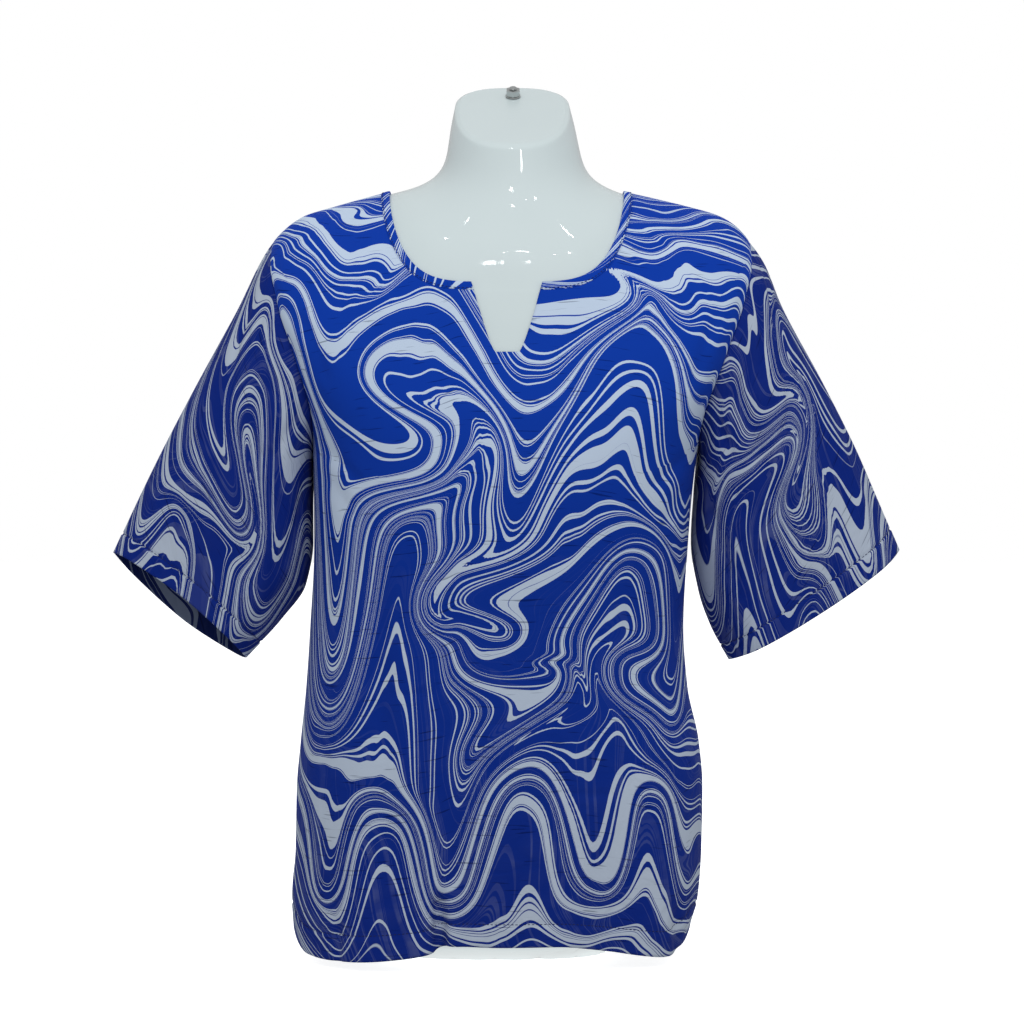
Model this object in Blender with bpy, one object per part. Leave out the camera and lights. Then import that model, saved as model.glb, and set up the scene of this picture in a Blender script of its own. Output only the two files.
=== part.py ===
"""A woman's short-sleeved pull-on blouse on a limbless dress form.

Metres, +Z up. The wearer faces -Y, and left and right are the wearer's. The origin is on the
floor, inside the form's flat foot. The cloth pieces are hollow walls: front, back, two sleeves
and the neck band. A row of the body runs level round the blouse at one station s, which goes
from 0 at the hem, past the underarm and the shoulder tip, to 1 at the neck edge.
"""
import math
from functools import lru_cache

import bmesh
import bpy
import numpy as np

WALL = 0.0015
HEM_WALL = 0.0021
BAND_WALL = 0.0020
SEAM_GAP = 0.0003
HEM_DEPTH = 0.020
BAND_WIDTH = 0.0075
BAND_PROUD = 0.0004

UNDERARM = 0.60
TIP = 0.85
ARMHOLE_HALF_DEPTH = 0.066
NOTCH_TOP_HALF = 0.0295
NOTCH_BOTTOM_HALF = 0.0100

HALF_COLUMNS = 15
ARMHOLE_STEPS = 12
SHOULDER_STEPS = 6
SIDE_ROWS = 12
ARC_SAMPLES = 90
ARC_CROWDING = 1.6
RING_SAMPLES = 480

HEM_LEVEL = 0.020
HEM_FADE = 0.30
FOLD_SIDE_FADE = 0.5
NOTCH_BOW = 0.8
NOTCH_REACH = 0.15
BAND_REACH = 0.03

# Small steps along a row and between rows, over which a surface's slope is taken, and the upright
# line inside the body that the way out is measured from.
SLOPE_STEP = 0.0015
SLOPE_RISE = 0.004
CORE_Y = 0.010
CORE_TOP = 0.56

# Level rows of the body. right and left are x at the side seam, at the shoulder seam above the
# tip, and between them at the arm, where the armhole is cut out of the rows. bow_x, bow_y and
# bow_z are the powers that round a row between its centre and its side.
BODY = (
    ("s", "right", "left", "centre", "side_y", "side_z", "front_y", "front_z", "back_y", "back_z",
     "bow_x", "bow_y", "bow_z"),
    (0.00, -0.1870, 0.1525, -0.0180, 0.000, 0.020, -0.1150, 0.020, 0.1120, 0.020, 0.84, 0.84, 1.5),
    (0.04, -0.1886, 0.1595, -0.0170, 0.000, 0.047, -0.1160, 0.046, 0.1130, 0.046, 0.84, 0.84, 1.5),
    (0.10, -0.1857, 0.1624, -0.0150, 0.000, 0.088, -0.1170, 0.085, 0.1120, 0.086, 0.84, 0.84, 1.5),
    (0.19, -0.1846, 0.1634, -0.0122, 0.000, 0.145, -0.1185, 0.140, 0.1090, 0.145, 0.84, 0.84, 1.5),
    (0.25, -0.1812, 0.1602, -0.0110, 0.000, 0.184, -0.1195, 0.177, 0.1060, 0.182, 0.84, 0.84, 1.5),
    (0.32, -0.1764, 0.1505, -0.0098, 0.000, 0.231, -0.1210, 0.220, 0.1020, 0.227, 0.84, 0.84, 1.5),
    (0.40, -0.1730, 0.1470, -0.0090, 0.000, 0.282, -0.1240, 0.266, 0.0985, 0.277, 0.84, 0.84, 1.5),
    (0.50, -0.1695, 0.1510, -0.0080, 0.000, 0.356, -0.1285, 0.331, 0.0965, 0.353, 0.83, 0.83, 1.5),
    (0.60, -0.1708, 0.1600, -0.0060, 0.000, 0.440, -0.1305, 0.399, 0.0985, 0.440, 0.80, 0.82, 1.5),
    (0.725, -0.1990, 0.1965, -0.0050, 0.000, 0.538, -0.1245, 0.458, 0.1000, 0.520, 0.74, 0.80, 1.42),
    (0.79, -0.2100, 0.2080, -0.0045, 0.000, 0.583, -0.1180, 0.486, 0.0975, 0.556, 0.70, 0.79, 1.38),
    (0.82, -0.2100, 0.2085, -0.0042, 0.000, 0.5985, -0.1150, 0.499, 0.0965, 0.572, 0.68, 0.785, 1.36),
    (0.85, -0.2050, 0.2040, -0.0040, 0.000, 0.6115, -0.1115, 0.512, 0.0950, 0.588, 0.66, 0.78, 1.35),
    (0.88, -0.1940, 0.1945, -0.0040, 0.001, 0.6240, -0.1080, 0.524, 0.0925, 0.600, 0.60, 0.77, 1.33),
    (0.91, -0.1780, 0.1780, -0.0040, 0.0025, 0.635, -0.1050, 0.536, 0.0890, 0.611, 0.54, 0.76, 1.32),
    (0.94, -0.1530, 0.1520, -0.0040, 0.0045, 0.6430, -0.1015, 0.548, 0.0850, 0.622, 0.49, 0.755, 1.31),
    (0.97, -0.1290, 0.1240, -0.0042, 0.0065, 0.6500, -0.0980, 0.560, 0.0800, 0.633, 0.44, 0.75, 1.30),
    (1.00, -0.1050, 0.0960, -0.0043, 0.008, 0.6565, -0.0945, 0.571, 0.0750, 0.643, 0.40, 0.75, 1.30),
)

# Height of the bottom edge along x.
FRONT_HEM = (
    ("x", "z"),
    (-0.1870, 0.0280),
    (-0.1800, 0.0150),
    (-0.1720, 0.0090),
    (-0.1550, 0.0070),
    (-0.1170, 0.0086),
    (-0.0900, 0.0112),
    (-0.0660, 0.0160),
    (-0.0520, 0.0226),
    (-0.0120, 0.0210),
    (0.0380, 0.0222),
    (0.0800, 0.0165),
    (0.1120, 0.0108),
    (0.1300, 0.0088),
    (0.1420, 0.0140),
    (0.1525, 0.0280),
)
BACK_HEM = (
    ("x", "z"),
    (-0.1870, 0.0280),
    (-0.1600, 0.0130),
    (-0.1000, 0.0105),
    (-0.0200, 0.0150),
    (0.0600, 0.0120),
    (0.1200, 0.0145),
    (0.1525, 0.0280),
)

# Soft upright folds that open towards the hem: forward is how far they stand out at the hem.
FRONT_FOLDS = (
    ("x", "half_width", "forward", "top_z"),
    (-0.128, 0.026, 0.0090, 0.26),
    (-0.0580, 0.009, -0.0070, 0.10),
    (-0.020, 0.030, -0.0045, 0.22),
    (0.040, 0.026, 0.0030, 0.24),
    (0.078, 0.016, -0.0035, 0.20),
    (0.128, 0.018, 0.0095, 0.19),
)
BACK_FOLDS = (
    ("x", "half_width", "forward", "top_z"),
    (-0.140, 0.024, 0.0070, 0.26),
    (-0.085, 0.018, -0.0050, 0.22),
    (-0.030, 0.024, 0.0060, 0.30),
    (0.025, 0.018, -0.0050, 0.24),
    (0.075, 0.022, 0.0065, 0.28),
    (0.122, 0.014, -0.0040, 0.18),
)

# Sleeve rings from the armhole, v = 0, to the cuff, v = 1. out is the top fold of the sleeve,
# and in_ is the fold under the arm, both in the front view, with in_y behind the top fold.
RIGHT_SLEEVE = (
    ("v", "out_x", "out_z", "in_x", "in_z", "in_y", "half_depth"),
    (0.00, -0.2050, 0.6115, -0.1708, 0.4400, 0.000, 0.0660),
    (0.07, -0.2185, 0.5880, -0.1722, 0.4260, 0.002, 0.0665),
    (0.20, -0.2345, 0.5560, -0.1714, 0.4000, 0.004, 0.0660),
    (0.45, -0.2700, 0.4910, -0.1713, 0.3550, 0.006, 0.0600),
    (0.65, -0.2995, 0.4350, -0.1775, 0.3180, 0.006, 0.0520),
    (0.82, -0.3225, 0.3880, -0.1985, 0.2880, 0.005, 0.0450),
    (1.00, -0.3425, 0.3450, -0.2290, 0.2550, 0.004, 0.0390),
)
LEFT_SLEEVE = (
    ("v", "out_x", "out_z", "in_x", "in_z", "in_y", "half_depth"),
    (0.00, 0.2040, 0.6115, 0.1600, 0.4400, 0.000, 0.0660),
    (0.07, 0.2170, 0.5910, 0.1610, 0.4260, 0.006, 0.0665),
    (0.20, 0.2315, 0.5570, 0.1574, 0.4000, 0.012, 0.0660),
    (0.45, 0.2675, 0.4900, 0.1548, 0.3540, 0.016, 0.0600),
    (0.65, 0.2960, 0.4330, 0.1610, 0.3130, 0.014, 0.0520),
    (0.82, 0.3150, 0.3890, 0.1715, 0.2820, 0.010, 0.0450),
    (1.00, 0.3325, 0.3480, 0.1870, 0.2535, 0.006, 0.0390),
)
# Long soft folds of the sleeves: turn is measured from the top fold towards the front.
SLEEVE_FOLDS = (
    ("turn_deg", "half_width_deg", "out"),
    (48.0, 17.0, 0.0050),
    (92.0, 16.0, -0.0040),
    (132.0, 15.0, 0.0040),
    (215.0, 17.0, 0.0045),
    (262.0, 17.0, -0.0040),
    (308.0, 17.0, 0.0045),
)
# How far the cuff's edge hangs below its straight line, at the middle of the front and the back.
CUFF_DROP = {"right": (-0.0100, 0.0120), "left": (0.0075, -0.0040)}
CUFF_DROP_BOW = 1.5
ARMHOLE_BLEND = 0.30
SLEEVE_FOLD_START = 0.05
SLEEVE_SLOPE_STEP = 0.05
SLEEVE_HEM_START = 0.90
SLEEVE_ROWS = (0.0, 0.05, 0.11, 0.18, 0.26, 0.34, 0.42, 0.50, 0.58, 0.66, 0.74, 0.82, 0.89, 0.915, 1.0)

# Space between the cloth's inside and the dress form.
FORM_SPACE = (
    ("s", "space"),
    (0.00, 0.0180),
    (0.10, 0.0120),
    (0.20, 0.0160),
    (0.36, 0.0320),
    (0.50, 0.0100),
    (0.58, 0.0032),
    (0.70, 0.0024),
    (0.80, 0.0013),
    (0.86, 0.0005),
    (1.00, 0.0004),
)
ARM_CAP_INSET = 0.004
ARM_CAP_ROUNDING = 0.010
FOOT = {"right": -0.108, "left": 0.082, "front": -0.037, "back": 0.088, "bow": 0.84}
FOOT_FLARE = {"share": 0.65, "height": 0.0156}

# The form's bare neck, from just inside the neck band up to the rim of its slanted top.
NECK = (
    ("t", "right", "left", "side_y", "side_z", "front_y", "front_z", "back_y", "back_z",
     "bow_x", "bow_y", "bow_z"),
    (0.00, -0.0900, 0.0860, 0.008, 0.6580, -0.0860, 0.592, 0.0735, 0.651, 0.42, 0.75, 1.30),
    (0.15, -0.0748, 0.0752, 0.009, 0.6635, -0.0750, 0.610, 0.0712, 0.659, 0.50, 0.76, 1.25),
    (0.30, -0.0630, 0.0652, 0.010, 0.6725, -0.0650, 0.627, 0.0688, 0.668, 0.62, 0.80, 1.20),
    (0.45, -0.0573, 0.0605, 0.012, 0.6840, -0.0565, 0.643, 0.0668, 0.681, 0.78, 0.84, 1.15),
    (0.60, -0.0552, 0.0578, 0.015, 0.6965, -0.0510, 0.658, 0.0658, 0.699, 0.84, 0.86, 1.05),
    (0.80, -0.0530, 0.0545, 0.022, 0.7150, -0.0475, 0.674, 0.0650, 0.726, 0.80, 0.83, 0.90),
    (1.00, -0.0495, 0.0500, 0.028, 0.7316, -0.0455, 0.6875, 0.0640, 0.7532, 0.75, 0.80, 0.80),
)
NECK_ROWS = 8
RIM_ROUNDING = 0.004
CAP_RISE = 0.002
CAP_SLOPE = 0.60

STUD_RADIUS = 0.0058
STUD_SHANK_RADIUS = 0.0036
STUD_HEAD_HEIGHT = 0.0050
STUD_SHANK_HEIGHT = 0.0030
STUD_PLACE = (0.0009, 0.0440)
STUD_SIDES = 12

COLOURS = {
    "cloth": (0.020, 0.045, 0.300, 1.0),
    "form": (0.620, 0.680, 0.710, 1.0),
    "steel": (0.450, 0.450, 0.460, 1.0),
}


def read(table, name, at):
    """Read a table's column at any station, on a smooth curve that never overshoots its rows."""
    index = table[0].index(name)
    keys = [row[0] for row in table[1:]]
    values = [row[index] for row in table[1:]]
    rises = [(values[k + 1] - values[k]) / (keys[k + 1] - keys[k]) for k in range(len(keys) - 1)]
    slopes = [rises[0]]
    for before, after in zip(rises, rises[1:]):
        slopes.append(0.0 if before * after <= 0.0 else 2.0 * before * after / (before + after))
    slopes.append(rises[-1])
    at = np.clip(at, keys[0], keys[-1])
    low = np.clip(np.searchsorted(keys, at, side="right") - 1, 0, len(keys) - 2)
    keys, values, slopes = np.array(keys), np.array(values), np.array(slopes)
    step = keys[low + 1] - keys[low]
    t = (at - keys[low]) / step
    return (values[low] * (1 + 2 * t) * (1 - t) ** 2 + slopes[low] * step * t * (1 - t) ** 2
            + values[low + 1] * t * t * (3 - 2 * t) + slopes[low + 1] * step * t * t * (t - 1))


def blend(low, high, part):
    """Step smoothly from low to high as part goes from 0 to 1."""
    part = np.clip(part, 0.0, 1.0)
    return low + (high - low) * part * part * (3.0 - 2.0 * part)


def side_of(hand):
    """Name the side of the body that a hand of +1 or -1 stands for."""
    return "left" if hand > 0 else "right"


def fold_depth(table, x, z):
    """Sum the upright folds at a place on the front or the back."""
    total = np.zeros_like(x)
    for centre, half_width, forward, top in table[1:]:
        total += forward * np.exp(-((x - centre) / half_width) ** 2) * blend(1.0, 0.0, z / top)
    return total


@lru_cache(maxsize=None)
def half_row(face, hand, s, whole=False):
    """Return half a row, from the centre line to its end, and the length along it.

    A whole row goes on to the side where the armhole is, for the dress form."""
    edge_x, edge_z = read(BODY, side_of(hand), s), read(BODY, "side_z", s)
    centre, side_y = read(BODY, "centre", s), read(BODY, "side_y", s)
    middle_y, middle_z = read(BODY, face + "_y", s), read(BODY, face + "_z", s)
    bow_x, bow_y, bow_z = (read(BODY, name, s) for name in ("bow_x", "bow_y", "bow_z"))
    end = math.pi / 2
    if UNDERARM < s < TIP and not whole:
        part = (s - UNDERARM) / (TIP - UNDERARM)
        depth = ARMHOLE_HALF_DEPTH * math.sqrt(1.0 - (1.0 - 2.0 * part) ** 2)
        end = math.acos((depth / abs(middle_y - side_y)) ** (1.0 / bow_y))
    angle = end * np.linspace(0.0, 1.0, ARC_SAMPLES) ** ARC_CROWDING
    across, along = np.sin(angle), np.maximum(np.cos(angle), 0.0)
    x = centre + (edge_x - centre) * across ** bow_x
    y = side_y + (middle_y - side_y) * along ** bow_y
    z = middle_z + (edge_z - middle_z) * (1.0 - along ** bow_z)
    if face == "front":
        forward, hem, folds = -1.0, FRONT_HEM, FRONT_FOLDS
    else:
        forward, hem, folds = 1.0, BACK_HEM, BACK_FOLDS
    y = y + forward * fold_depth(folds, x, z) * along ** FOLD_SIDE_FADE
    z = z + (read(hem, "z", x) - HEM_LEVEL) * max(0.0, 1.0 - s / HEM_FADE) ** 2
    points = np.stack((x, y, z), axis=1)
    lengths = np.concatenate(([0.0], np.cumsum(np.linalg.norm(np.diff(points, axis=0), axis=1))))
    return points, lengths


def on_row(face, hand, s, length, whole=False):
    """Return the point of a row at a length from the centre line."""
    points, lengths = half_row(face, hand, s, whole)
    return np.array([np.interp(length, lengths, points[:, axis]) for axis in range(3)])


def row_length(face, hand, s, whole=False):
    """Return the length of half a row."""
    return half_row(face, hand, s, whole)[1][-1]


def column_length(face, hand, column, s, total):
    """Return where a column crosses a row. The front's first column runs up the notch's edge.

    Beside the armhole only the outer columns close up, so that the inner ones run on evenly."""
    share = column / HALF_COLUMNS
    uncut = row_length(face, hand, s, True)
    even = uncut * share - (uncut - total) * share ** 3
    if face == "back" or column == 0:
        return even
    if s >= TIP:
        rise = ((s - TIP) / (1.0 - TIP)) ** NOTCH_BOW
        first = NOTCH_BOTTOM_HALF + (NOTCH_TOP_HALF - NOTCH_BOTTOM_HALF) * rise
    else:
        first = blend(NOTCH_BOTTOM_HALF, uncut / HALF_COLUMNS, (TIP - s) / NOTCH_REACH)
    return even + (first - uncut / HALF_COLUMNS) * (1.0 - share) / (1.0 - 1.0 / HALF_COLUMNS)


def body_point(face, column, s, trimmed=True, whole=False):
    """Return a point of the body's outer surface and the way out of it."""
    hand = 1 if column >= 0 else -1
    total = row_length(face, hand, s, whole)
    seam = whole or not UNDERARM < s < TIP
    if trimmed and seam:
        total -= SEAM_GAP / 2
    length = column_length(face, hand, abs(column), s, total)
    point = on_row(face, hand, s, length, whole)
    low, high = max(length - SLOPE_STEP, 0.0), min(length + SLOPE_STEP, total)
    along = on_row(face, hand, s, high, whole) - on_row(face, hand, s, low, whole)
    below, above = max(s - SLOPE_RISE, 0.0), min(s + SLOPE_RISE, 1.0)
    share = length / total
    up = (on_row(face, hand, above, share * row_length(face, hand, above, whole), whole)
          - on_row(face, hand, below, share * row_length(face, hand, below, whole), whole))
    if column == 0:
        along = np.array((1.0, 0.0, 0.0))
    if seam and abs(column) == HALF_COLUMNS:
        along = np.array((0.0, 1.0, 0.0))
    out = np.cross(along, up)
    out /= np.linalg.norm(out)
    towards = point - np.array((read(BODY, "centre", s), CORE_Y, min(point[2], CORE_TOP)))
    return point, out if out @ towards > 0 else -out


def band_station(face, column, distance):
    """Return the station that lies a distance below the neck edge in one column."""
    hand = 1 if column >= 0 else -1
    ends = []
    for s in (1.0, 1.0 - BAND_REACH):
        length = column_length(face, hand, abs(column), s, row_length(face, hand, s))
        ends.append(on_row(face, hand, s, length))
    return 1.0 - BAND_REACH * distance / np.linalg.norm(ends[0] - ends[1])


def armhole_frame(hand):
    """Return the armhole's centre and the unit vector that points out of it, down the sleeve."""
    under = np.array((read(BODY, side_of(hand), UNDERARM), 0.0, read(BODY, "side_z", UNDERARM)))
    tip = np.array((read(BODY, side_of(hand), TIP), 0.0, read(BODY, "side_z", TIP)))
    chord = (tip - under) / np.linalg.norm(tip - under)
    return (under + tip) / 2, hand * np.array((chord[2], 0.0, -chord[0]))


def keep_behind(inward, plane_out, sign):
    """Turn a wall's inward vector so that it doesn't cross the seam's plane."""
    crossing = inward @ plane_out * sign
    if crossing >= 0.0:
        return inward
    turned = inward - crossing * sign * plane_out
    return turned * np.linalg.norm(inward) / np.linalg.norm(turned)


def side_stations():
    """List the stations of the rows from the hem to just below the underarm, and the hem's top."""
    hem = HEM_DEPTH * SLOPE_RISE / (read(BODY, "side_z", SLOPE_RISE) - read(BODY, "side_z", 0.0))
    above = hem + SLOPE_RISE
    return [0.0, hem] + [above + (UNDERARM - above) * k / SIDE_ROWS for k in range(SIDE_ROWS)], hem


def armhole_stations():
    """List the stations of the rows that end on the armhole, in even turns round it."""
    return [UNDERARM + (TIP - UNDERARM) * (1.0 - math.cos(math.pi * k / ARMHOLE_STEPS)) / 2
            for k in range(ARMHOLE_STEPS + 1)]


def shoulder_station(face, column, step):
    """Return the station of a row above the shoulder tip, on its way to the neck band."""
    top = band_station(face, column, BAND_WIDTH + SEAM_GAP)
    return TIP + (top - TIP) * step / SHOULDER_STEPS


def panel(face):
    """Return the outer and inner points of the front or the back."""
    lower, hem = side_stations()
    outer, inner = [], []
    columns = range(-HALF_COLUMNS, HALF_COLUMNS + 1)
    rows = [[s] * len(columns) for s in lower + armhole_stations()]
    for k in range(1, SHOULDER_STEPS + 1):
        rows.append([shoulder_station(face, column, k) for column in columns])
    for stations in rows:
        outer_row, inner_row = [], []
        for column, s in zip(columns, stations):
            point, out = body_point(face, column, s)
            inward = -out * (HEM_WALL if s <= hem else WALL)
            if UNDERARM <= s <= TIP and abs(column) == HALF_COLUMNS:
                inward = keep_behind(inward, armhole_frame(np.sign(column))[1], -1.0)
            outer_row.append(point)
            inner_row.append(point + inward)
        outer.append(outer_row)
        inner.append(inner_row)
    return outer, inner


def armhole_edge(hand):
    """Return the armhole's edge as a ring, from the shoulder tip round the front and the back."""
    stations = armhole_stations()
    front = [body_point("front", hand * HALF_COLUMNS, s, trimmed=False)[0] for s in stations[::-1]]
    back = [body_point("back", hand * HALF_COLUMNS, s, trimmed=False)[0] for s in stations]
    return np.array(front + back[1:-1])


def sleeve(hand):
    """Return the outer and inner points of a sleeve, ring by ring, from the armhole down."""
    side = side_of(hand)
    table = RIGHT_SLEEVE if hand < 0 else LEFT_SLEEVE
    count = 2 * ARMHOLE_STEPS
    plane_out = armhole_frame(hand)[1]
    outer = []
    for v in SLEEVE_ROWS:
        top = np.array((read(table, "out_x", v), 0.0, read(table, "out_z", v)))
        under = np.array((read(table, "in_x", v), read(table, "in_y", v), read(table, "in_z", v)))
        depth = read(table, "half_depth", v)
        down = plane_out
        if v > 0.0:
            above = v - SLEEVE_SLOPE_STEP
            down = top - np.array((read(table, "out_x", above), 0.0, read(table, "out_z", above)))
            down /= np.linalg.norm(down)
        ring = []
        for k in range(count):
            turn = 2.0 * math.pi * k / count
            point = (top + under) / 2 + (top - under) / 2 * math.cos(turn)
            point = point + np.array((0.0, -depth * math.sin(turn), 0.0))
            way = (top - under) / np.linalg.norm(top - under) * math.cos(turn) + np.array(
                (0.0, -math.sin(turn), 0.0))
            swell = 0.0
            for centre, width, out in SLEEVE_FOLDS[1:]:
                swell += out * math.exp(-((math.degrees(turn) - centre) / width) ** 2)
            point = point + way * swell * blend(0.0, 1.0, (v - SLEEVE_FOLD_START) / (1.0 - SLEEVE_FOLD_START))
            drop = CUFF_DROP[side][0] if math.sin(turn) > 0 else CUFF_DROP[side][1]
            point = point + down * drop * abs(math.sin(turn)) ** CUFF_DROP_BOW * v ** 3
            ring.append(point)
        outer.append(ring)
    grid = np.array(outer)
    miss = armhole_edge(hand) + plane_out * SEAM_GAP - grid[0]
    for row, v in enumerate(SLEEVE_ROWS):
        grid[row] += miss * blend(1.0, 0.0, v / ARMHOLE_BLEND)
    around = np.roll(grid, -1, axis=1) - np.roll(grid, 1, axis=1)
    along = np.gradient(grid, axis=0)
    out = np.cross(around, along) * -hand
    out /= np.linalg.norm(out, axis=2, keepdims=True)
    centre = grid.mean(axis=1, keepdims=True)
    out *= np.sign(np.sum(out * (grid - centre), axis=2).mean())
    inner = grid.copy()
    for row, v in enumerate(SLEEVE_ROWS):
        wall = HEM_WALL if v > SLEEVE_HEM_START else WALL
        for k in range(count):
            inward = -out[row, k] * wall
            if row == 0:
                inward = keep_behind(inward, plane_out, 1.0)
            inner[row, k] += inward
    return grid, inner


def neck_band():
    """Return the band's points, from one notch corner round the back of the neck to the other."""
    outer, inner = [[], []], [[], []]
    places = [("front", column) for column in range(-1, -HALF_COLUMNS - 1, -1)]
    places += [("back", column) for column in range(-HALF_COLUMNS + 1, HALF_COLUMNS)]
    places += [("front", column) for column in range(HALF_COLUMNS, 0, -1)]
    for face, column in places:
        for row, s in enumerate((band_station(face, column, BAND_WIDTH), 1.0)):
            point, out = body_point(face, column, s, trimmed=False)
            outer[row].append(point + out * BAND_PROUD)
            inner[row].append(point - out * (BAND_WALL - BAND_PROUD))
    return outer, inner


def add_object(name, bm, colour, roughness=0.5, metallic=0.0):
    """Make a named object from a bmesh and give it a material of its own."""
    bmesh.ops.recalc_face_normals(bm, faces=bm.faces)
    mesh = bpy.data.meshes.new(name)
    bm.to_mesh(mesh)
    bm.free()
    mesh.shade_smooth()
    mesh.set_sharp_from_angle(angle=math.radians(40.0))
    material = bpy.data.materials.new(name)
    material.use_nodes = True
    shader = material.node_tree.nodes["Principled BSDF"]
    shader.inputs["Base Color"].default_value = COLOURS[colour]
    shader.inputs["Roughness"].default_value = roughness
    shader.inputs["Metallic"].default_value = metallic
    mesh.materials.append(material)
    item = bpy.data.objects.new(name, mesh)
    bpy.context.scene.collection.objects.link(item)
    return item


def split_quad(bm, a, b, c, d):
    """Add a four-sided cell as two triangles, along its shorter diagonal."""
    if (a.co - c.co).length <= (b.co - d.co).length:
        bm.faces.new((a, b, c))
        bm.faces.new((a, c, d))
    else:
        bm.faces.new((a, b, d))
        bm.faces.new((b, c, d))


def add_wall(name, outer, inner, closed=False, open_cells=()):
    """Build a cloth wall: two skins of triangles, and a rim round every free edge."""
    bm = bmesh.new()
    rows, columns = len(outer), len(outer[0])
    skins = [[[bm.verts.new(point) for point in row] for row in skin] for skin in (outer, inner)]
    rims = {}
    for row in range(rows - 1):
        for column in range(columns if closed else columns - 1):
            if (row, column) in open_cells:
                continue
            after = (column + 1) % columns
            corners = [(row, column), (row, after), (row + 1, after), (row + 1, column)]
            for skin in skins:
                split_quad(bm, *(skin[i][j] for i, j in corners))
            for edge in zip(corners, corners[1:] + corners[:1]):
                if edge[::-1] in rims:
                    del rims[edge[::-1]]
                else:
                    rims[edge] = True
    for (i, j), (k, m) in rims:
        bm.faces.new((skins[0][i][j], skins[1][i][j], skins[1][k][m]))
        bm.faces.new((skins[0][i][j], skins[1][k][m], skins[0][k][m]))
    loose = [vert for vert in bm.verts if not vert.link_faces]
    bmesh.ops.delete(bm, geom=loose, context="VERTS")
    return add_object(name, bm, "cloth", roughness=0.6)


def ring_from(values):
    """Return a closed level ring from its side, front and back places and its bows."""
    side_y, side_z = values["side_y"], values["side_z"]
    centre = (values["right"] + values["left"]) / 2
    ring = []
    for k in range(RING_SAMPLES):
        turn = 2.0 * math.pi * k / RING_SAMPLES
        across, along = math.sin(turn), math.cos(turn)
        face = "front" if along >= 0 else "back"
        edge = values["left"] if across >= 0 else values["right"]
        y, z = values[face + "_y"], values[face + "_z"]
        ring.append(np.array((
            centre + (edge - centre) * abs(across) ** values["bow_x"],
            side_y + (y - side_y) * abs(along) ** values["bow_y"],
            side_z + (z - side_z) * abs(along) ** values["bow_z"],
        )))
    return ring


def even_ring(ring, count):
    """Space a closed ring's points evenly along each quarter, from centre front round the left."""
    ring = np.array(ring + ring[:1])
    quarter = (len(ring) - 1) // 4
    step = count // 4
    result = []
    for part in range(4):
        piece = ring[part * quarter:(part + 1) * quarter + 1]
        lengths = np.concatenate(([0.0], np.cumsum(np.linalg.norm(np.diff(piece, axis=0), axis=1))))
        for k in range(step):
            at = lengths[-1] * k / step
            result.append(np.array([np.interp(at, lengths, piece[:, axis]) for axis in range(3)]))
    return result


def behind_arm_caps(point):
    """Press a point of the form behind the flat, softly rounded caps where its arms would be."""
    for hand in (-1, 1):
        centre, plane_out = armhole_frame(hand)
        past = (point - centre) @ plane_out + ARM_CAP_INSET + ARM_CAP_ROUNDING
        if past > 0.0:
            kept = ARM_CAP_ROUNDING * (1.0 - math.exp(-past / ARM_CAP_ROUNDING))
            point = point + plane_out * (kept - past)
    return point


def form_ring(station_of, wall):
    """Return the form's ring inside the cloth, from centre front round the left."""
    places = [("front", column) for column in range(HALF_COLUMNS)]
    places += [("back", column) for column in range(HALF_COLUMNS, 0, -1)]
    places += [("back", -column) for column in range(HALF_COLUMNS)]
    places += [("front", -column) for column in range(HALF_COLUMNS, 0, -1)]
    ring = []
    for face, column in places:
        s = station_of(face, column)
        point, out = body_point(face, column, s, trimmed=False, whole=True)
        ring.append(behind_arm_caps(point - out * (wall + read(FORM_SPACE, "space", s))))
    return ring


def dress_form():
    """Build the limbless form: foot, hips, waist, bust, shoulders, and the slant-topped neck."""
    lower, armhole = side_stations()[0][3::2], armhole_stations()
    level = lower + armhole[:6:2] + armhole[6:]
    rings = [form_ring(lambda face, column, s=s: s, WALL) for s in level]
    for k in range(1, SHOULDER_STEPS + 1):
        rings.append(form_ring(lambda face, column, k=k: shoulder_station(face, column, k), WALL))
    band_inside = BAND_WALL - BAND_PROUD
    rings.append(form_ring(lambda face, column: band_station(face, column, BAND_WIDTH), band_inside))
    rings.append(form_ring(lambda face, column: 1.0, band_inside))
    count = len(rings[0])
    foot = {"right": FOOT["right"], "left": FOOT["left"],
            "side_y": (FOOT["front"] + FOOT["back"]) / 2, "side_z": 0.0,
            "front_y": FOOT["front"], "front_z": 0.0, "back_y": FOOT["back"], "back_z": 0.0,
            "bow_x": FOOT["bow"], "bow_y": FOOT["bow"], "bow_z": 1.0}
    base = even_ring(ring_from(foot), count)
    flare = [low + (high - low) * FOOT_FLARE["share"] for low, high in zip(base, rings[0])]
    for point in flare:
        point[2] = FOOT_FLARE["height"]
    rings = [base, flare] + rings
    for k in range(NECK_ROWS + 1):
        values = {name: read(NECK, name, k / NECK_ROWS) for name in NECK[0][1:]}
        rings.append(even_ring(ring_from(values), count))
    rim = np.array(rings[-1])
    centre = rim.mean(axis=0)
    top = []
    for point in rim:
        inset = centre + (point - centre) * (1.0 - RIM_ROUNDING / np.linalg.norm(point - centre))
        inset[2] = cap_height(inset[1])
        top.append(inset)
    rings.append(top)
    bm = bmesh.new()
    verts = [[bm.verts.new(point) for point in ring] for ring in rings]
    for low, high in zip(verts, verts[1:]):
        for k in range(count):
            after = (k + 1) % count
            split_quad(bm, low[k], low[after], high[after], high[k])
    bm.faces.new(verts[0][::-1])
    bm.faces.new(verts[-1])
    return add_object("dress_form", bm, "form", roughness=0.12)


def cap_height(y):
    """Return the height of the neck's slanted flat top at a depth."""
    return read(NECK, "front_z", 1.0) + CAP_RISE + (y - read(NECK, "front_y", 1.0)) * CAP_SLOPE


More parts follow.
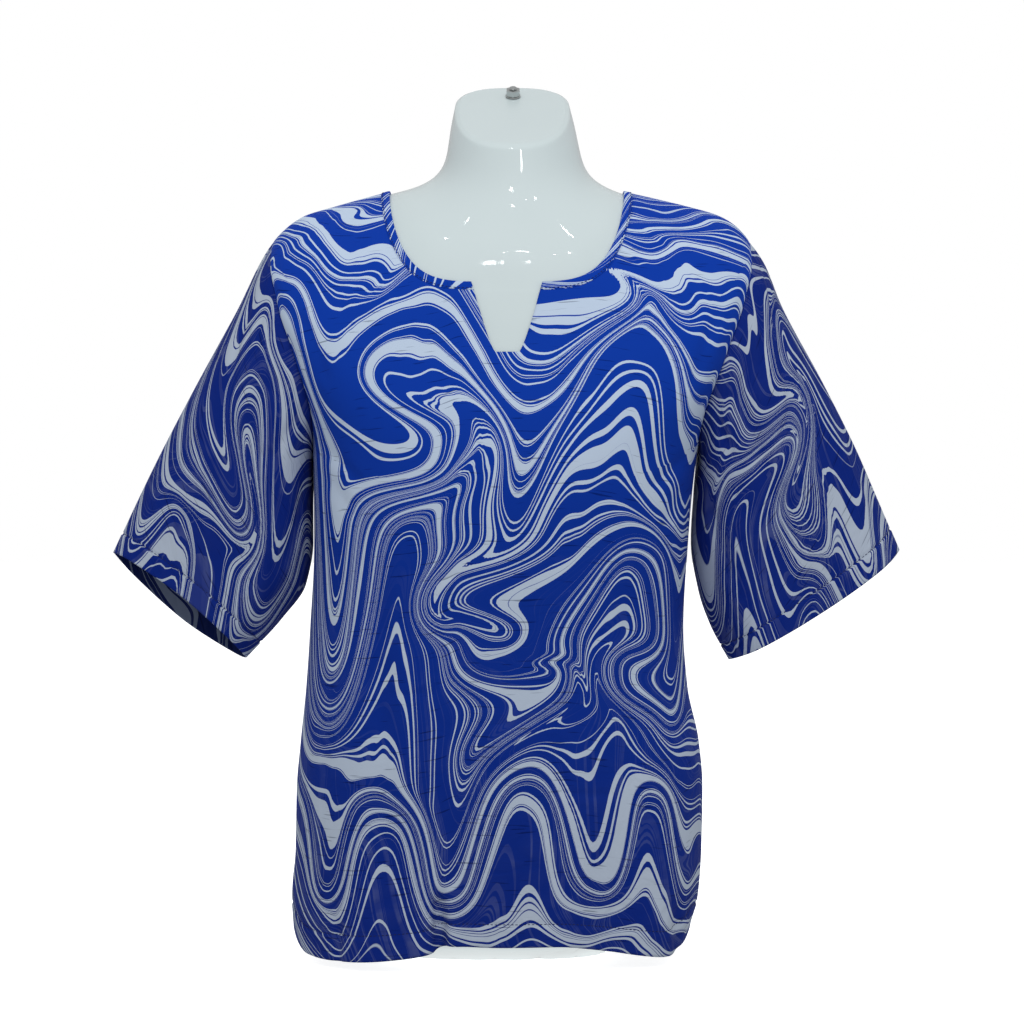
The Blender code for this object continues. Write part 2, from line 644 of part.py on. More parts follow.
def neck_stud():
    """Build the steel stud: a round shank with a six-sided head, square to the slanted top."""
    bm = bmesh.new()
    x, y = STUD_PLACE
    out = np.array((0.0, -CAP_SLOPE, 1.0))
    out /= np.linalg.norm(out)
    foot = np.array((x, y, cap_height(y))) + out * SEAM_GAP
    side = np.array((1.0, 0.0, 0.0))
    back = np.cross(out, side)
    sections = (
        (0.0, STUD_SHANK_RADIUS, 1.0),
        (STUD_SHANK_HEIGHT, STUD_SHANK_RADIUS, 1.0),
        (STUD_SHANK_HEIGHT, STUD_RADIUS, math.cos(math.pi / 6)),
        (STUD_SHANK_HEIGHT + STUD_HEAD_HEIGHT, STUD_RADIUS, math.cos(math.pi / 6)),
    )
    rings = []
    for height, radius, flat in sections:
        ring = []
        for k in range(STUD_SIDES):
            turn = 2.0 * math.pi * k / STUD_SIDES
            reach = radius * (flat if k % 2 else 1.0)
            way = side * math.cos(turn) + back * math.sin(turn)
            ring.append(bm.verts.new(foot + out * height + way * reach))
        rings.append(ring)
    for low, high in zip(rings, rings[1:]):
        for k in range(STUD_SIDES):
            after = (k + 1) % STUD_SIDES
            bm.faces.new((low[k], low[after], high[after], high[k]))
    bm.faces.new(rings[0][::-1])
    bm.faces.new(rings[-1])
    return add_object("neck_stud", bm, "steel", roughness=0.3, metallic=1.0)


def main():
    """Clear the scene and build every piece."""
    for item in list(bpy.data.objects):
        bpy.data.objects.remove(item, do_unlink=True)
    first_notch_row = len(side_stations()[0]) + ARMHOLE_STEPS
    notch = {(first_notch_row + row, HALF_COLUMNS + column)
             for row in range(SHOULDER_STEPS) for column in (-1, 0)}
    add_wall("front", *panel("front"), open_cells=notch)
    add_wall("back", *panel("back"))
    add_wall("sleeve_right", *sleeve(-1), closed=True)
    add_wall("sleeve_left", *sleeve(1), closed=True)
    add_wall("neck_band", *neck_band())
    dress_form()
    neck_stud()


main()
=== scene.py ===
# %% [markdown]
# A short-sleeved blouse on a glossy white dress form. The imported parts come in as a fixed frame,
# in metres: +Z is up, the wearer faces -Y, and +X is the wearer's left. The form is rounded from
# its CAD mesh, and its stud gets a nut and a thread. Each cloth piece is made again as a thin,
# fine shell on the same surface, because cloth shows creases, seams and stitches that a plain wall
# doesn't have.
# %% Load the frame
import math
from functools import lru_cache

import bmesh
import bpy
import numpy as np
from mathutils import Matrix, Vector


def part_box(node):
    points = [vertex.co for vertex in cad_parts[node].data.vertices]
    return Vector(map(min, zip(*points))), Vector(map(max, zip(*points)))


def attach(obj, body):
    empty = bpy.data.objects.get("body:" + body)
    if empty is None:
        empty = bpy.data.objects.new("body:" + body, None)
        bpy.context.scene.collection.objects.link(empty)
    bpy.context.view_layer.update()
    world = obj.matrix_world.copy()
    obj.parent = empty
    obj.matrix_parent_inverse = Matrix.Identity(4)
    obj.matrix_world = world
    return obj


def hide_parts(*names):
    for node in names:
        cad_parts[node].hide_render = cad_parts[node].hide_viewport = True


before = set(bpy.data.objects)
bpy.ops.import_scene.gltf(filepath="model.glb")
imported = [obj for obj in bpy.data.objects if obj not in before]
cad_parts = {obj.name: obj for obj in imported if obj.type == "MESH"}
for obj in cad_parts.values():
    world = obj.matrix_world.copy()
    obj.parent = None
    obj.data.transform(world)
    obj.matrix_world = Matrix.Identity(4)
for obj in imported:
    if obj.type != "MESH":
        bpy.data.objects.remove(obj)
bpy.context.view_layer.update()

# %% [markdown]
# The blouse is described by level rows, as a knitter or a pattern cutter would measure it: how
# wide and how deep the body is at each height. A row's station s is 0 at the hem, 0.60 at the
# underarm, 0.85 at the shoulder tip and 1 at the neck edge. A short table like this is easier to
# read and to alter than thousands of vertices, and a smooth curve through its rows gives any
# height in between.
# %% Sizes of the body
UNDERARM = 0.60
TIP = 0.85
ARMHOLE_HALF_DEPTH = 0.066
NOTCH_TOP_HALF = 0.0295
NOTCH_BOTTOM_HALF = 0.0100
NOTCH_BOW = 0.8
NOTCH_REACH = 0.15
BAND_WIDTH = 0.0075
BAND_REACH = 0.03
HEM_DEPTH = 0.020
HEM_LEVEL = 0.020
HEM_FADE = 0.30
FOLD_SIDE_FADE = 0.5
HALF_COLUMNS = 15
ARC_SAMPLES = 90
ARC_CROWDING = 1.6

BODY = (
    ("s", "right", "left", "centre", "side_y", "side_z", "front_y", "front_z", "back_y", "back_z",
     "bow_x", "bow_y", "bow_z"),
    (0.0, -0.187, 0.1525, -0.018, 0.0, 0.02, -0.115, 0.02, 0.112, 0.02, 0.84, 0.84, 1.5),
    (0.04, -0.1886, 0.1595, -0.017, 0.0, 0.047, -0.116, 0.046, 0.113, 0.046, 0.84, 0.84, 1.5),
    (0.1, -0.1857, 0.1624, -0.015, 0.0, 0.088, -0.117, 0.085, 0.112, 0.086, 0.84, 0.84, 1.5),
    (0.19, -0.1846, 0.1634, -0.0122, 0.0, 0.145, -0.1185, 0.14, 0.109, 0.145, 0.84, 0.84, 1.5),
    (0.25, -0.1812, 0.1602, -0.011, 0.0, 0.184, -0.1195, 0.177, 0.106, 0.182, 0.84, 0.84, 1.5),
    (0.32, -0.1764, 0.1505, -0.0098, 0.0, 0.231, -0.121, 0.22, 0.102, 0.227, 0.84, 0.84, 1.5),
    (0.4, -0.173, 0.147, -0.009, 0.0, 0.282, -0.124, 0.266, 0.0985, 0.277, 0.84, 0.84, 1.5),
    (0.5, -0.1695, 0.151, -0.008, 0.0, 0.356, -0.1285, 0.331, 0.0965, 0.353, 0.83, 0.83, 1.5),
    (0.6, -0.1708, 0.16, -0.006, 0.0, 0.44, -0.1305, 0.399, 0.0985, 0.44, 0.8, 0.82, 1.5),
    (0.725, -0.199, 0.1965, -0.005, 0.0, 0.538, -0.1245, 0.458, 0.1, 0.52, 0.74, 0.8, 1.42),
    (0.79, -0.21, 0.208, -0.0045, 0.0, 0.583, -0.118, 0.486, 0.0975, 0.556, 0.7, 0.79, 1.38),
    (0.82, -0.21, 0.2085, -0.0042, 0.0, 0.5985, -0.115, 0.499, 0.0965, 0.572, 0.68, 0.785, 1.36),
    (0.85, -0.205, 0.204, -0.004, 0.0, 0.6115, -0.1115, 0.512, 0.095, 0.588, 0.66, 0.78, 1.35),
    (0.88, -0.194, 0.1945, -0.004, 0.001, 0.624, -0.108, 0.524, 0.0925, 0.6, 0.6, 0.77, 1.33),
    (0.91, -0.178, 0.178, -0.004, 0.0025, 0.635, -0.105, 0.536, 0.089, 0.611, 0.54, 0.76, 1.32),
    (0.94, -0.153, 0.152, -0.004, 0.0045, 0.643, -0.1015, 0.548, 0.085, 0.622, 0.49, 0.755, 1.31),
    (0.97, -0.129, 0.124, -0.0042, 0.0065, 0.65, -0.098, 0.56, 0.08, 0.633, 0.44, 0.75, 1.3),
    (1.0, -0.105, 0.096, -0.0043, 0.008, 0.6565, -0.0945, 0.571, 0.075, 0.643, 0.4, 0.75, 1.3),
)

# %% [markdown]
# The bottom edge isn't straight: it dips at the side folds and rises where a fold pinches in. Two
# tables give its height along x, and two more give the soft upright folds that open towards it.
# %% Hem and upright folds
FRONT_HEM = (
    ("x", "z"),
    (-0.187, 0.028),
    (-0.18, 0.015),
    (-0.172, 0.009),
    (-0.155, 0.007),
    (-0.117, 0.0086),
    (-0.09, 0.0112),
    (-0.066, 0.016),
    (-0.052, 0.0226),
    (-0.012, 0.021),
    (0.038, 0.0222),
    (0.08, 0.0165),
    (0.112, 0.0108),
    (0.13, 0.0088),
    (0.142, 0.014),
    (0.1525, 0.028),
)
BACK_HEM = (
    ("x", "z"),
    (-0.187, 0.028),
    (-0.16, 0.013),
    (-0.1, 0.0105),
    (-0.02, 0.015),
    (0.06, 0.012),
    (0.12, 0.0145),
    (0.1525, 0.028),
)
FRONT_FOLDS = (
    ("x", "half_width", "forward", "top_z"),
    (-0.128, 0.026, 0.009, 0.26),
    (-0.058, 0.009, -0.007, 0.1),
    (-0.02, 0.03, -0.0045, 0.22),
    (0.04, 0.026, 0.003, 0.24),
    (0.078, 0.016, -0.0035, 0.2),
    (0.128, 0.018, 0.0095, 0.19),
)
BACK_FOLDS = (
    ("x", "half_width", "forward", "top_z"),
    (-0.14, 0.024, 0.007, 0.26),
    (-0.085, 0.018, -0.005, 0.22),
    (-0.03, 0.024, 0.006, 0.3),
    (0.025, 0.018, -0.005, 0.24),
    (0.075, 0.022, 0.0065, 0.28),
    (0.122, 0.014, -0.004, 0.18),
)

# %% [markdown]
# A sleeve is a row of rings from the armhole, v = 0, to the cuff, v = 1. Seen from the front, out
# is the top fold of the sleeve and in_ is the fold under the arm.
# %% Sizes of the sleeves
RIGHT_SLEEVE = (
    ("v", "out_x", "out_z", "in_x", "in_z", "in_y", "half_depth"),
    (0.0, -0.205, 0.6115, -0.1708, 0.44, 0.0, 0.066),
    (0.07, -0.2185, 0.588, -0.1722, 0.426, 0.002, 0.0665),
    (0.2, -0.2345, 0.556, -0.1714, 0.4, 0.004, 0.066),
    (0.45, -0.27, 0.491, -0.1713, 0.355, 0.006, 0.06),
    (0.65, -0.2995, 0.435, -0.1775, 0.318, 0.006, 0.052),
    (0.82, -0.3225, 0.388, -0.1985, 0.288, 0.005, 0.045),
    (1.0, -0.3425, 0.345, -0.229, 0.255, 0.004, 0.039),
)
LEFT_SLEEVE = (
    ("v", "out_x", "out_z", "in_x", "in_z", "in_y", "half_depth"),
    (0.0, 0.204, 0.6115, 0.16, 0.44, 0.0, 0.066),
    (0.07, 0.217, 0.591, 0.161, 0.426, 0.006, 0.0665),
    (0.2, 0.2315, 0.557, 0.1574, 0.4, 0.012, 0.066),
    (0.45, 0.2675, 0.49, 0.1548, 0.354, 0.016, 0.06),
    (0.65, 0.296, 0.433, 0.161, 0.313, 0.014, 0.052),
    (0.82, 0.315, 0.389, 0.1715, 0.282, 0.01, 0.045),
    (1.0, 0.3325, 0.348, 0.187, 0.2535, 0.006, 0.039),
)
SLEEVE_FOLDS = (
    ("turn_deg", "half_width_deg", "out"),
    (48.0, 17.0, 0.005),
    (92.0, 16.0, -0.004),
    (132.0, 15.0, 0.004),
    (215.0, 17.0, 0.0045),
    (262.0, 17.0, -0.004),
    (308.0, 17.0, 0.0045),
)
CUFF_DROP = {"right": (-0.0100, 0.0120), "left": (0.0075, -0.0040)}
CUFF_DROP_BOW = 1.5
CUFF_DROP_GROWTH = 3
ARMHOLE_BLEND = 0.30
SLEEVE_FOLD_START = 0.05
SLEEVE_SLOPE_STEP = 0.05

# %% [markdown]
# Two helpers read the tables. The curve through a column's values is a cubic whose slope at each
# row is limited, so that it never swings past a value, as a plain spline can.
# %% Read a table smoothly
def read(table, name, at):
    """Read a table's column at any station, on a smooth curve that never overshoots its rows."""
    index = table[0].index(name)
    keys = [row[0] for row in table[1:]]
    values = [row[index] for row in table[1:]]
    rises = [(values[k + 1] - values[k]) / (keys[k + 1] - keys[k]) for k in range(len(keys) - 1)]
    slopes = [rises[0]]
    for before, after in zip(rises, rises[1:]):
        slopes.append(0.0 if before * after <= 0.0 else 2.0 * before * after / (before + after))
    slopes.append(rises[-1])
    at = np.clip(at, keys[0], keys[-1])
    low = np.clip(np.searchsorted(keys, at, side="right") - 1, 0, len(keys) - 2)
    keys, values, slopes = np.array(keys), np.array(values), np.array(slopes)
    step = keys[low + 1] - keys[low]
    t = (at - keys[low]) / step
    return (values[low] * (1 + 2 * t) * (1 - t) ** 2 + slopes[low] * step * t * (1 - t) ** 2
            + values[low + 1] * t * t * (3 - 2 * t) + slopes[low + 1] * step * t * t * (t - 1))


def blend(low, high, part):
    """Step smoothly from low to high as part goes from 0 to 1."""
    part = np.clip(part, 0.0, 1.0)
    return low + (high - low) * part * part * (3.0 - 2.0 * part)


def side_of(hand):
    """Name the side of the body that a hand of +1 or -1 stands for."""
    return "left" if hand > 0 else "right"


# %% [markdown]
# Half a row runs from the centre line to the side seam. Where the armhole is, the same round row
# is cut off at the armhole's edge, so the chest stays smooth and only the opening is missing.
# %% Rows of the body
def fold_depth(table, x, z):
    """Sum the upright folds at a place on the front or the back."""
    total = np.zeros_like(x)
    for centre, half_width, forward, top in table[1:]:
        total += forward * np.exp(-((x - centre) / half_width) ** 2) * blend(1.0, 0.0, z / top)
    return total


def running_length(points, axis=0):
    """Return how far each point lies along its path, for a path or a grid of them."""
    steps = np.linalg.norm(np.diff(points, axis=axis), axis=-1)
    start = np.zeros_like(np.take(steps, [0], axis=axis))
    return np.concatenate((start, np.cumsum(steps, axis=axis)), axis=axis)


def place_along(points, lengths, at):
    """Return the place, or places, that lie a length along a path."""
    return np.stack([np.interp(at, lengths, points[:, axis]) for axis in range(3)], axis=-1)


@lru_cache(maxsize=None)
def half_row(face, hand, s, whole=False):
    """Return half a row, from the centre line to its end, and the length along it."""
    edge_x, edge_z = read(BODY, side_of(hand), s), read(BODY, "side_z", s)
    centre, side_y = read(BODY, "centre", s), read(BODY, "side_y", s)
    middle_y, middle_z = read(BODY, face + "_y", s), read(BODY, face + "_z", s)
    bow_x, bow_y, bow_z = (read(BODY, name, s) for name in ("bow_x", "bow_y", "bow_z"))
    end = math.pi / 2
    if UNDERARM < s < TIP and not whole:
        part = (s - UNDERARM) / (TIP - UNDERARM)
        depth = ARMHOLE_HALF_DEPTH * math.sqrt(1.0 - (1.0 - 2.0 * part) ** 2)
        end = math.acos((depth / abs(middle_y - side_y)) ** (1.0 / bow_y))
    angle = end * np.linspace(0.0, 1.0, ARC_SAMPLES) ** ARC_CROWDING
    across, along = np.sin(angle), np.maximum(np.cos(angle), 0.0)
    x = centre + (edge_x - centre) * across ** bow_x
    y = side_y + (middle_y - side_y) * along ** bow_y
    z = middle_z + (edge_z - middle_z) * (1.0 - along ** bow_z)
    if face == "front":
        forward, hem, folds = -1.0, FRONT_HEM, FRONT_FOLDS
    else:
        forward, hem, folds = 1.0, BACK_HEM, BACK_FOLDS
    y = y + forward * fold_depth(folds, x, z) * along ** FOLD_SIDE_FADE
    z = z + (read(hem, "z", x) - HEM_LEVEL) * max(0.0, 1.0 - s / HEM_FADE) ** 2
    points = np.stack((x, y, z), axis=1)
    return points, running_length(points)


def column_length(face, column, total, uncut, s):
    """Return how far along its row a column lies. The front's first column is the notch's edge."""
    share = column / HALF_COLUMNS
    even = uncut * share - (uncut - total) * share ** 3
    if face == "back":
        return even
    if s >= TIP:
        rise = ((s - TIP) / (1.0 - TIP)) ** NOTCH_BOW
        first = NOTCH_BOTTOM_HALF + (NOTCH_TOP_HALF - NOTCH_BOTTOM_HALF) * rise
    else:
        first = blend(NOTCH_BOTTOM_HALF, uncut / HALF_COLUMNS, (TIP - s) / NOTCH_REACH)
    reach = (1.0 - share) / (1.0 - 1.0 / HALF_COLUMNS) if column >= 1.0 else column
    return even + (first - uncut / HALF_COLUMNS) * reach


def on_body(face, column, s):
    """Return the place on the body where a column crosses a row."""
    hand = 1 if column >= 0 else -1
    points, lengths = half_row(face, hand, s)
    uncut = half_row(face, hand, s, True)[1][-1]
    at = column_length(face, abs(column), lengths[-1], uncut, s)
    return place_along(points, lengths, at)


@lru_cache(maxsize=None)
def band_station(face, column, distance):
    """Return the station that lies a distance below the neck edge in one column."""
    span = np.linalg.norm(on_body(face, column, 1.0) - on_body(face, column, 1.0 - BAND_REACH))
    return 1.0 - BAND_REACH * distance / span


girth = sum(half_row(face, hand, UNDERARM)[1][-1]
            for face in ("front", "back") for hand in (-1, 1))
print("girth at the underarm", round(girth, 3), "m")

# %% [markdown]
# A panel is a flat grid first, as the cloth was, and each of its points is then moved to its place
# on the body. bmesh's create_grid gives the flat grid with its faces, so the script only has to
# say where a point goes. Real pieces meet at a seam, so the finest rows end on the very same
# points.
# %% Rows and columns of a panel
FINE = 6
SLEEVE_STEPS = 72
HEM_ROWS = 8
SIDE_ROWS = 140
SHOULDER_ROWS = 30
HEM_STEP = 0.004
SMALLEST = 1e-12


def hem_station():
    """Return the station of the hem's stitched line."""
    rise = read(BODY, "side_z", HEM_STEP) - read(BODY, "side_z", 0.0)
    return HEM_DEPTH * HEM_STEP / rise


def armhole_stations(steps):
    """List the stations of the rows that end on the armhole, in even turns round it."""
    return [UNDERARM + (TIP - UNDERARM) * (1.0 - math.cos(math.pi * k / steps)) / 2
            for k in range(steps + 1)]


def panel_stations():
    """List the stations of a panel's rows from the hem to the shoulder tip."""
    hem = hem_station()
    rows = [hem * k / HEM_ROWS for k in range(HEM_ROWS)]
    rows += [hem + (UNDERARM - hem) * k / SIDE_ROWS for k in range(SIDE_ROWS)]
    return rows + armhole_stations(SLEEVE_STEPS)


def panel_grid(face):
    """Return the places of a panel's points, row by row from the hem up."""
    columns = [k / FINE for k in range(-HALF_COLUMNS * FINE, HALF_COLUMNS * FINE + 1)]
    rows = [[on_body(face, column, s) for column in columns] for s in panel_stations()]
    tops = [band_station(face, column, BAND_WIDTH) for column in columns]
    for k in range(1, SHOULDER_ROWS + 1):
        part = k / SHOULDER_ROWS
        rows.append([on_body(face, column, TIP + (top - TIP) * part)
                     for column, top in zip(columns, tops)])
    return np.array(rows)


def outward(grid, closed=False):
    """Return the way out of a grid of places, from the run of its rows and columns."""
    if closed:
        across = np.roll(grid, -1, axis=1) - np.roll(grid, 1, axis=1)
    else:
        across = np.gradient(grid, axis=1)
    normal = np.cross(across, np.gradient(grid, axis=0))
    normal /= np.maximum(np.linalg.norm(normal, axis=2, keepdims=True), SMALLEST)
    core = grid.mean(axis=(0, 1)) if not closed else grid.mean(axis=1, keepdims=True)
    return normal * np.sign(np.sum(normal * (grid - core), axis=2).sum())


def cloth_lengths(grid, closed=False):
    """Return each point's place on the flat cloth: along its row, and up its column."""
    across = running_length(grid, axis=1)
    middle = 0 if closed else grid.shape[1] // 2
    across -= across[:, middle:middle + 1]
    return np.stack((across, running_length(grid)), axis=2)


front_grid = panel_grid("front")
back_grid = panel_grid("back")
print("front grid", front_grid.shape, "back grid", back_grid.shape)

# %% [markdown]
# Cloth on a body is never quite smooth. Each crease is listed one by one: where it starts and ends
# in the front view, how wide it is, and how deep. A positive depth is a trough and a negative one a
# ridge. They fade out before a seam, so that two pieces still meet on the same points.
# %% Creases of the panels
FRONT_CREASES = (
    ("x0", "z0", "x1", "z1", "half_width", "depth"),
    (-0.0615, 0.075, -0.058, 0.006, 0.005, 0.0065),
    (-0.049, 0.085, -0.048, 0.01, 0.0075, -0.004),
    (-0.145, 0.05, -0.1445, 0.0, 0.0035, 0.0035),
    (0.1385, 0.058, 0.139, 0.004, 0.004, 0.003),
    (-0.162, 0.44, -0.12, 0.398, 0.0055, 0.0018),
    (-0.16, 0.418, -0.128, 0.372, 0.0065, 0.0014),
    (0.152, 0.432, 0.112, 0.396, 0.0055, 0.0018),
    (0.15, 0.408, 0.122, 0.36, 0.0065, 0.0013),
    (-0.113, 0.36, -0.109, 0.17, 0.011, 0.0022),
    (-0.088, 0.3, -0.092, 0.11, 0.009, -0.0016),
    (0.095, 0.345, 0.101, 0.13, 0.01, 0.0022),
    (0.062, 0.26, 0.066, 0.08, 0.0085, -0.0014),
    (-0.182, 0.56, -0.15, 0.48, 0.006, 0.0016),
    (0.178, 0.565, 0.146, 0.475, 0.0065, 0.0018),
    (-0.075, 0.33, -0.01, 0.322, 0.003, 0.0007),
    (-0.03, 0.205, 0.035, 0.209, 0.0028, 0.0007),
    (0.025, 0.15, 0.09, 0.146, 0.003, 0.0008),
    (-0.11, 0.228, -0.055, 0.232, 0.0028, 0.0006),
)
BACK_CREASES = (
    ("x0", "z0", "x1", "z1", "half_width", "depth"),
    (-0.11, 0.56, -0.055, 0.475, 0.008, 0.0018),
    (0.106, 0.555, 0.06, 0.468, 0.0085, 0.0019),
    (-0.156, 0.43, -0.115, 0.392, 0.006, 0.0017),
    (0.148, 0.425, 0.108, 0.388, 0.006, 0.0016),
    (-0.06, 0.34, -0.064, 0.12, 0.01, 0.0024),
    (-0.01, 0.3, -0.006, 0.09, 0.009, -0.0018),
    (0.048, 0.335, 0.052, 0.11, 0.0105, 0.0022),
    (0.1, 0.28, 0.103, 0.06, 0.008, -0.0016),
    (-0.118, 0.25, -0.115, 0.05, 0.0075, 0.0018),
    (-0.05, 0.415, 0.04, 0.409, 0.0032, 0.0008),
    (-0.02, 0.24, 0.05, 0.244, 0.003, 0.0007),
)
CREASE_START = 0.35
CREASE_END = 0.25
SEAM_FADE = 0.030
SEAM_SINK = 0.0009
SEAM_SLOPE = 0.3
HEM_GROOVE = 0.0010
HEM_STAND = 0.0004


def crease_depth(table, x, z):
    """Sum the creases of a table at places in the front view."""
    total = np.zeros_like(x)
    for x0, z0, x1, z1, half_width, depth in table[1:]:
        run = np.array((x1 - x0, z1 - z0))
        length = np.linalg.norm(run)
        along = ((x - x0) * run[0] + (z - z0) * run[1]) / length
        off = ((x - x0) * run[1] - (z - z0) * run[0]) / length
        starts = blend(0.0, 1.0, along / (CREASE_START * length))
        ends = blend(0.0, 1.0, (length - along) / (CREASE_END * length))
        total += depth * np.exp(-(off / half_width) ** 2) * (starts * ends)
    return total


def seam_fade(grid):
    """Fade creases out towards a panel's two side edges."""
    across = cloth_lengths(grid)[:, :, 0]
    left = across - across[:, :1]
    right = across[:, -1:] - across
    return blend(0.0, 1.0, np.minimum(left, right) / SEAM_FADE)


def dress_panel(face, grid):
    """Give a panel its creases, its sunk seams and its turned hem."""
    table = FRONT_CREASES if face == "front" else BACK_CREASES
    out = outward(grid)
    depth = crease_depth(table, grid[:, :, 0], grid[:, :, 2]) * seam_fade(grid)
    for column, sink in ((0, SEAM_SINK), (1, SEAM_SLOPE * SEAM_SINK)):
        depth[:, column] += sink
        depth[:, -1 - column] += sink
    depth[HEM_ROWS] += HEM_GROOVE
    depth[:HEM_ROWS] -= HEM_STAND
    return grid - out * depth[:, :, None]


def weld_sides(front, back):
    """Bring the edges of the two panels together along the side, armhole and shoulder seams."""
    first_shoulder = HEM_ROWS + SIDE_ROWS + SLEEVE_STEPS
    for column in (0, -1):
        for row in list(range(HEM_ROWS + SIDE_ROWS + 1)) + list(range(first_shoulder, len(front))):
            middle = (front[row, column] + back[row, column]) / 2
            front[row, column] = middle
            back[row, column] = middle


front_cloth = cloth_lengths(front_grid)
back_cloth = cloth_lengths(back_grid)
front_grid = dress_panel("front", front_grid)
back_grid = dress_panel("back", back_grid)
weld_sides(front_grid, back_grid)

# %% [markdown]
# A sleeve is a tube of rings round a slanted line. Its first ring has to land on the armhole's
# edge point for point, so the miss between the two is measured there and faded out down the
# sleeve. Its creases are placed by how far round and how far down they lie.
# %% Sleeves
SLEEVE_ROWS = 140
SLEEVE_HEM = 0.021
SLEEVE_LENGTH = {"right": 0.300, "left": 0.293}
SLEEVE_RADIUS = 0.075
HEAD_WIDTH = 0.010
HEAD_RISE = 0.0007
ARMHOLE_FADE = 0.004
SLEEVE_CREASES = {
    "right": (
        ("turn_deg", "down", "turn_end_deg", "down_end", "half_width", "depth"),
        (28.0, 0.012, 52.0, 0.11, 0.0055, 0.0022),
        (84.0, 0.03, 78.0, 0.19, 0.0075, 0.0026),
        (118.0, 0.02, 104.0, 0.12, 0.006, 0.002),
        (62.0, 0.14, 60.0, 0.27, 0.006, -0.0018),
        (150.0, 0.05, 128.0, 0.23, 0.0065, 0.0018),
        (230.0, 0.02, 236.0, 0.17, 0.007, 0.0024),
        (285.0, 0.06, 280.0, 0.24, 0.0075, 0.0022),
        (332.0, 0.015, 318.0, 0.1, 0.0055, 0.0018),
    ),
    "left": (
        ("turn_deg", "down", "turn_end_deg", "down_end", "half_width", "depth"),
        (20.0, 0.006, 44.0, 0.06, 0.0028, 0.002),
        (42.0, 0.05, 64.0, 0.135, 0.0028, 0.002),
        (92.0, 0.03, 88.0, 0.2, 0.007, 0.0024),
        (120.0, 0.015, 108.0, 0.11, 0.0055, 0.0018),
        (34.0, 0.12, 38.0, 0.255, 0.0065, -0.0018),
        (140.0, 0.07, 126.0, 0.23, 0.0065, 0.0018),
        (226.0, 0.025, 240.0, 0.18, 0.007, 0.0024),
        (278.0, 0.05, 286.0, 0.23, 0.0075, 0.0022),
        (338.0, 0.015, 322.0, 0.11, 0.0055, 0.0018),
    ),
}


def armhole_ring(hand, front, back):
    """Collect the armhole's edge from the finished panels, from the tip round the front."""
    column = -1 if hand > 0 else 0
    low, high = HEM_ROWS + SIDE_ROWS, HEM_ROWS + SIDE_ROWS + SLEEVE_STEPS
    return np.concatenate((front[low:high + 1, column][::-1], back[low + 1:high, column]))


def armhole_way(hand):
    """Return the unit vector that points out of an armhole, down the sleeve."""
    side = side_of(hand)
    chord = np.array((read(BODY, side, TIP) - read(BODY, side, UNDERARM), 0.0,
                      read(BODY, "side_z", TIP) - read(BODY, "side_z", UNDERARM)))
    chord /= np.linalg.norm(chord)
    return hand * np.array((chord[2], 0.0, -chord[0]))


def sleeve_grid(hand, edge):
    """Return the places of a sleeve's points, ring by ring, from the armhole down."""
    side = side_of(hand)
    table = RIGHT_SLEEVE if hand < 0 else LEFT_SLEEVE
    turns = 2.0 * math.pi * np.arange(2 * SLEEVE_STEPS) / (2 * SLEEVE_STEPS)
    front_or_back = np.where(np.sin(turns) > 0, CUFF_DROP[side][0], CUFF_DROP[side][1])
    drop = front_or_back * np.abs(np.sin(turns)) ** CUFF_DROP_BOW
    swell = np.zeros_like(turns)
    for centre, width, out in SLEEVE_FOLDS[1:]:
        swell += out * np.exp(-((np.degrees(turns) - centre) / width) ** 2)
    stations = np.linspace(0.0, 1.0, SLEEVE_ROWS + 1)
    rings = []
    for v in stations:
        top = np.array((read(table, "out_x", v), 0.0, read(table, "out_z", v)))
        under = np.array((read(table, "in_x", v), read(table, "in_y", v), read(table, "in_z", v)))
        down = armhole_way(hand)
        if v > 0.0:
            above = max(v - SLEEVE_SLOPE_STEP, 0.0)
            down = top - np.array((read(table, "out_x", above), 0.0, read(table, "out_z", above)))
            down /= np.linalg.norm(down)
        axis = (top - under) / np.linalg.norm(top - under)
        front = np.array((0.0, -1.0, 0.0))
        cosines, sines = np.cos(turns)[:, None], np.sin(turns)[:, None]
        ring = (top + under) / 2 + (top - under) / 2 * cosines
        ring = ring + front * read(table, "half_depth", v) * sines
        growth = blend(0.0, 1.0, (v - SLEEVE_FOLD_START) / (1.0 - SLEEVE_FOLD_START))
        ring = ring + (axis * cosines + front * sines) * (swell * growth)[:, None]
        rings.append(ring + down * (drop * v ** CUFF_DROP_GROWTH)[:, None])
    grid = np.array(rings)
    miss = edge - grid[0]
    grid += miss[None] * blend(1.0, 0.0, stations / ARMHOLE_BLEND)[:, None, None]
    return dress_sleeve(side, grid, stations)


def dress_sleeve(side, grid, stations):
    """Give a sleeve its creases, its slightly raised head and its turned hem."""
    out = outward(grid, closed=True)
    turns = np.arange(grid.shape[1]) / grid.shape[1] * 360.0
    down = np.tile(stations[:, None] * SLEEVE_LENGTH[side], (1, grid.shape[1]))
    around = np.tile(np.radians(turns) * SLEEVE_RADIUS, (len(stations), 1))
    table = SLEEVE_CREASES[side]
    rows = [(math.radians(a) * SLEEVE_RADIUS, b, math.radians(c) * SLEEVE_RADIUS, d, width, depth)
            for a, b, c, d, width, depth in table[1:]]
    depth = crease_depth([table[0]] + rows, around, down)
    from_seam = down / HEAD_WIDTH
    depth -= HEAD_RISE * from_seam * np.exp(1.0 - from_seam)
    hem = down > SLEEVE_LENGTH[side] - SLEEVE_HEM
    depth[hem] -= HEM_STAND
    groove = int(np.argmax(hem[:, 0])) - 1
    depth[groove] += HEM_GROOVE
    depth *= blend(0.0, 1.0, down / ARMHOLE_FADE)
    return grid - out * depth[:, :, None], groove


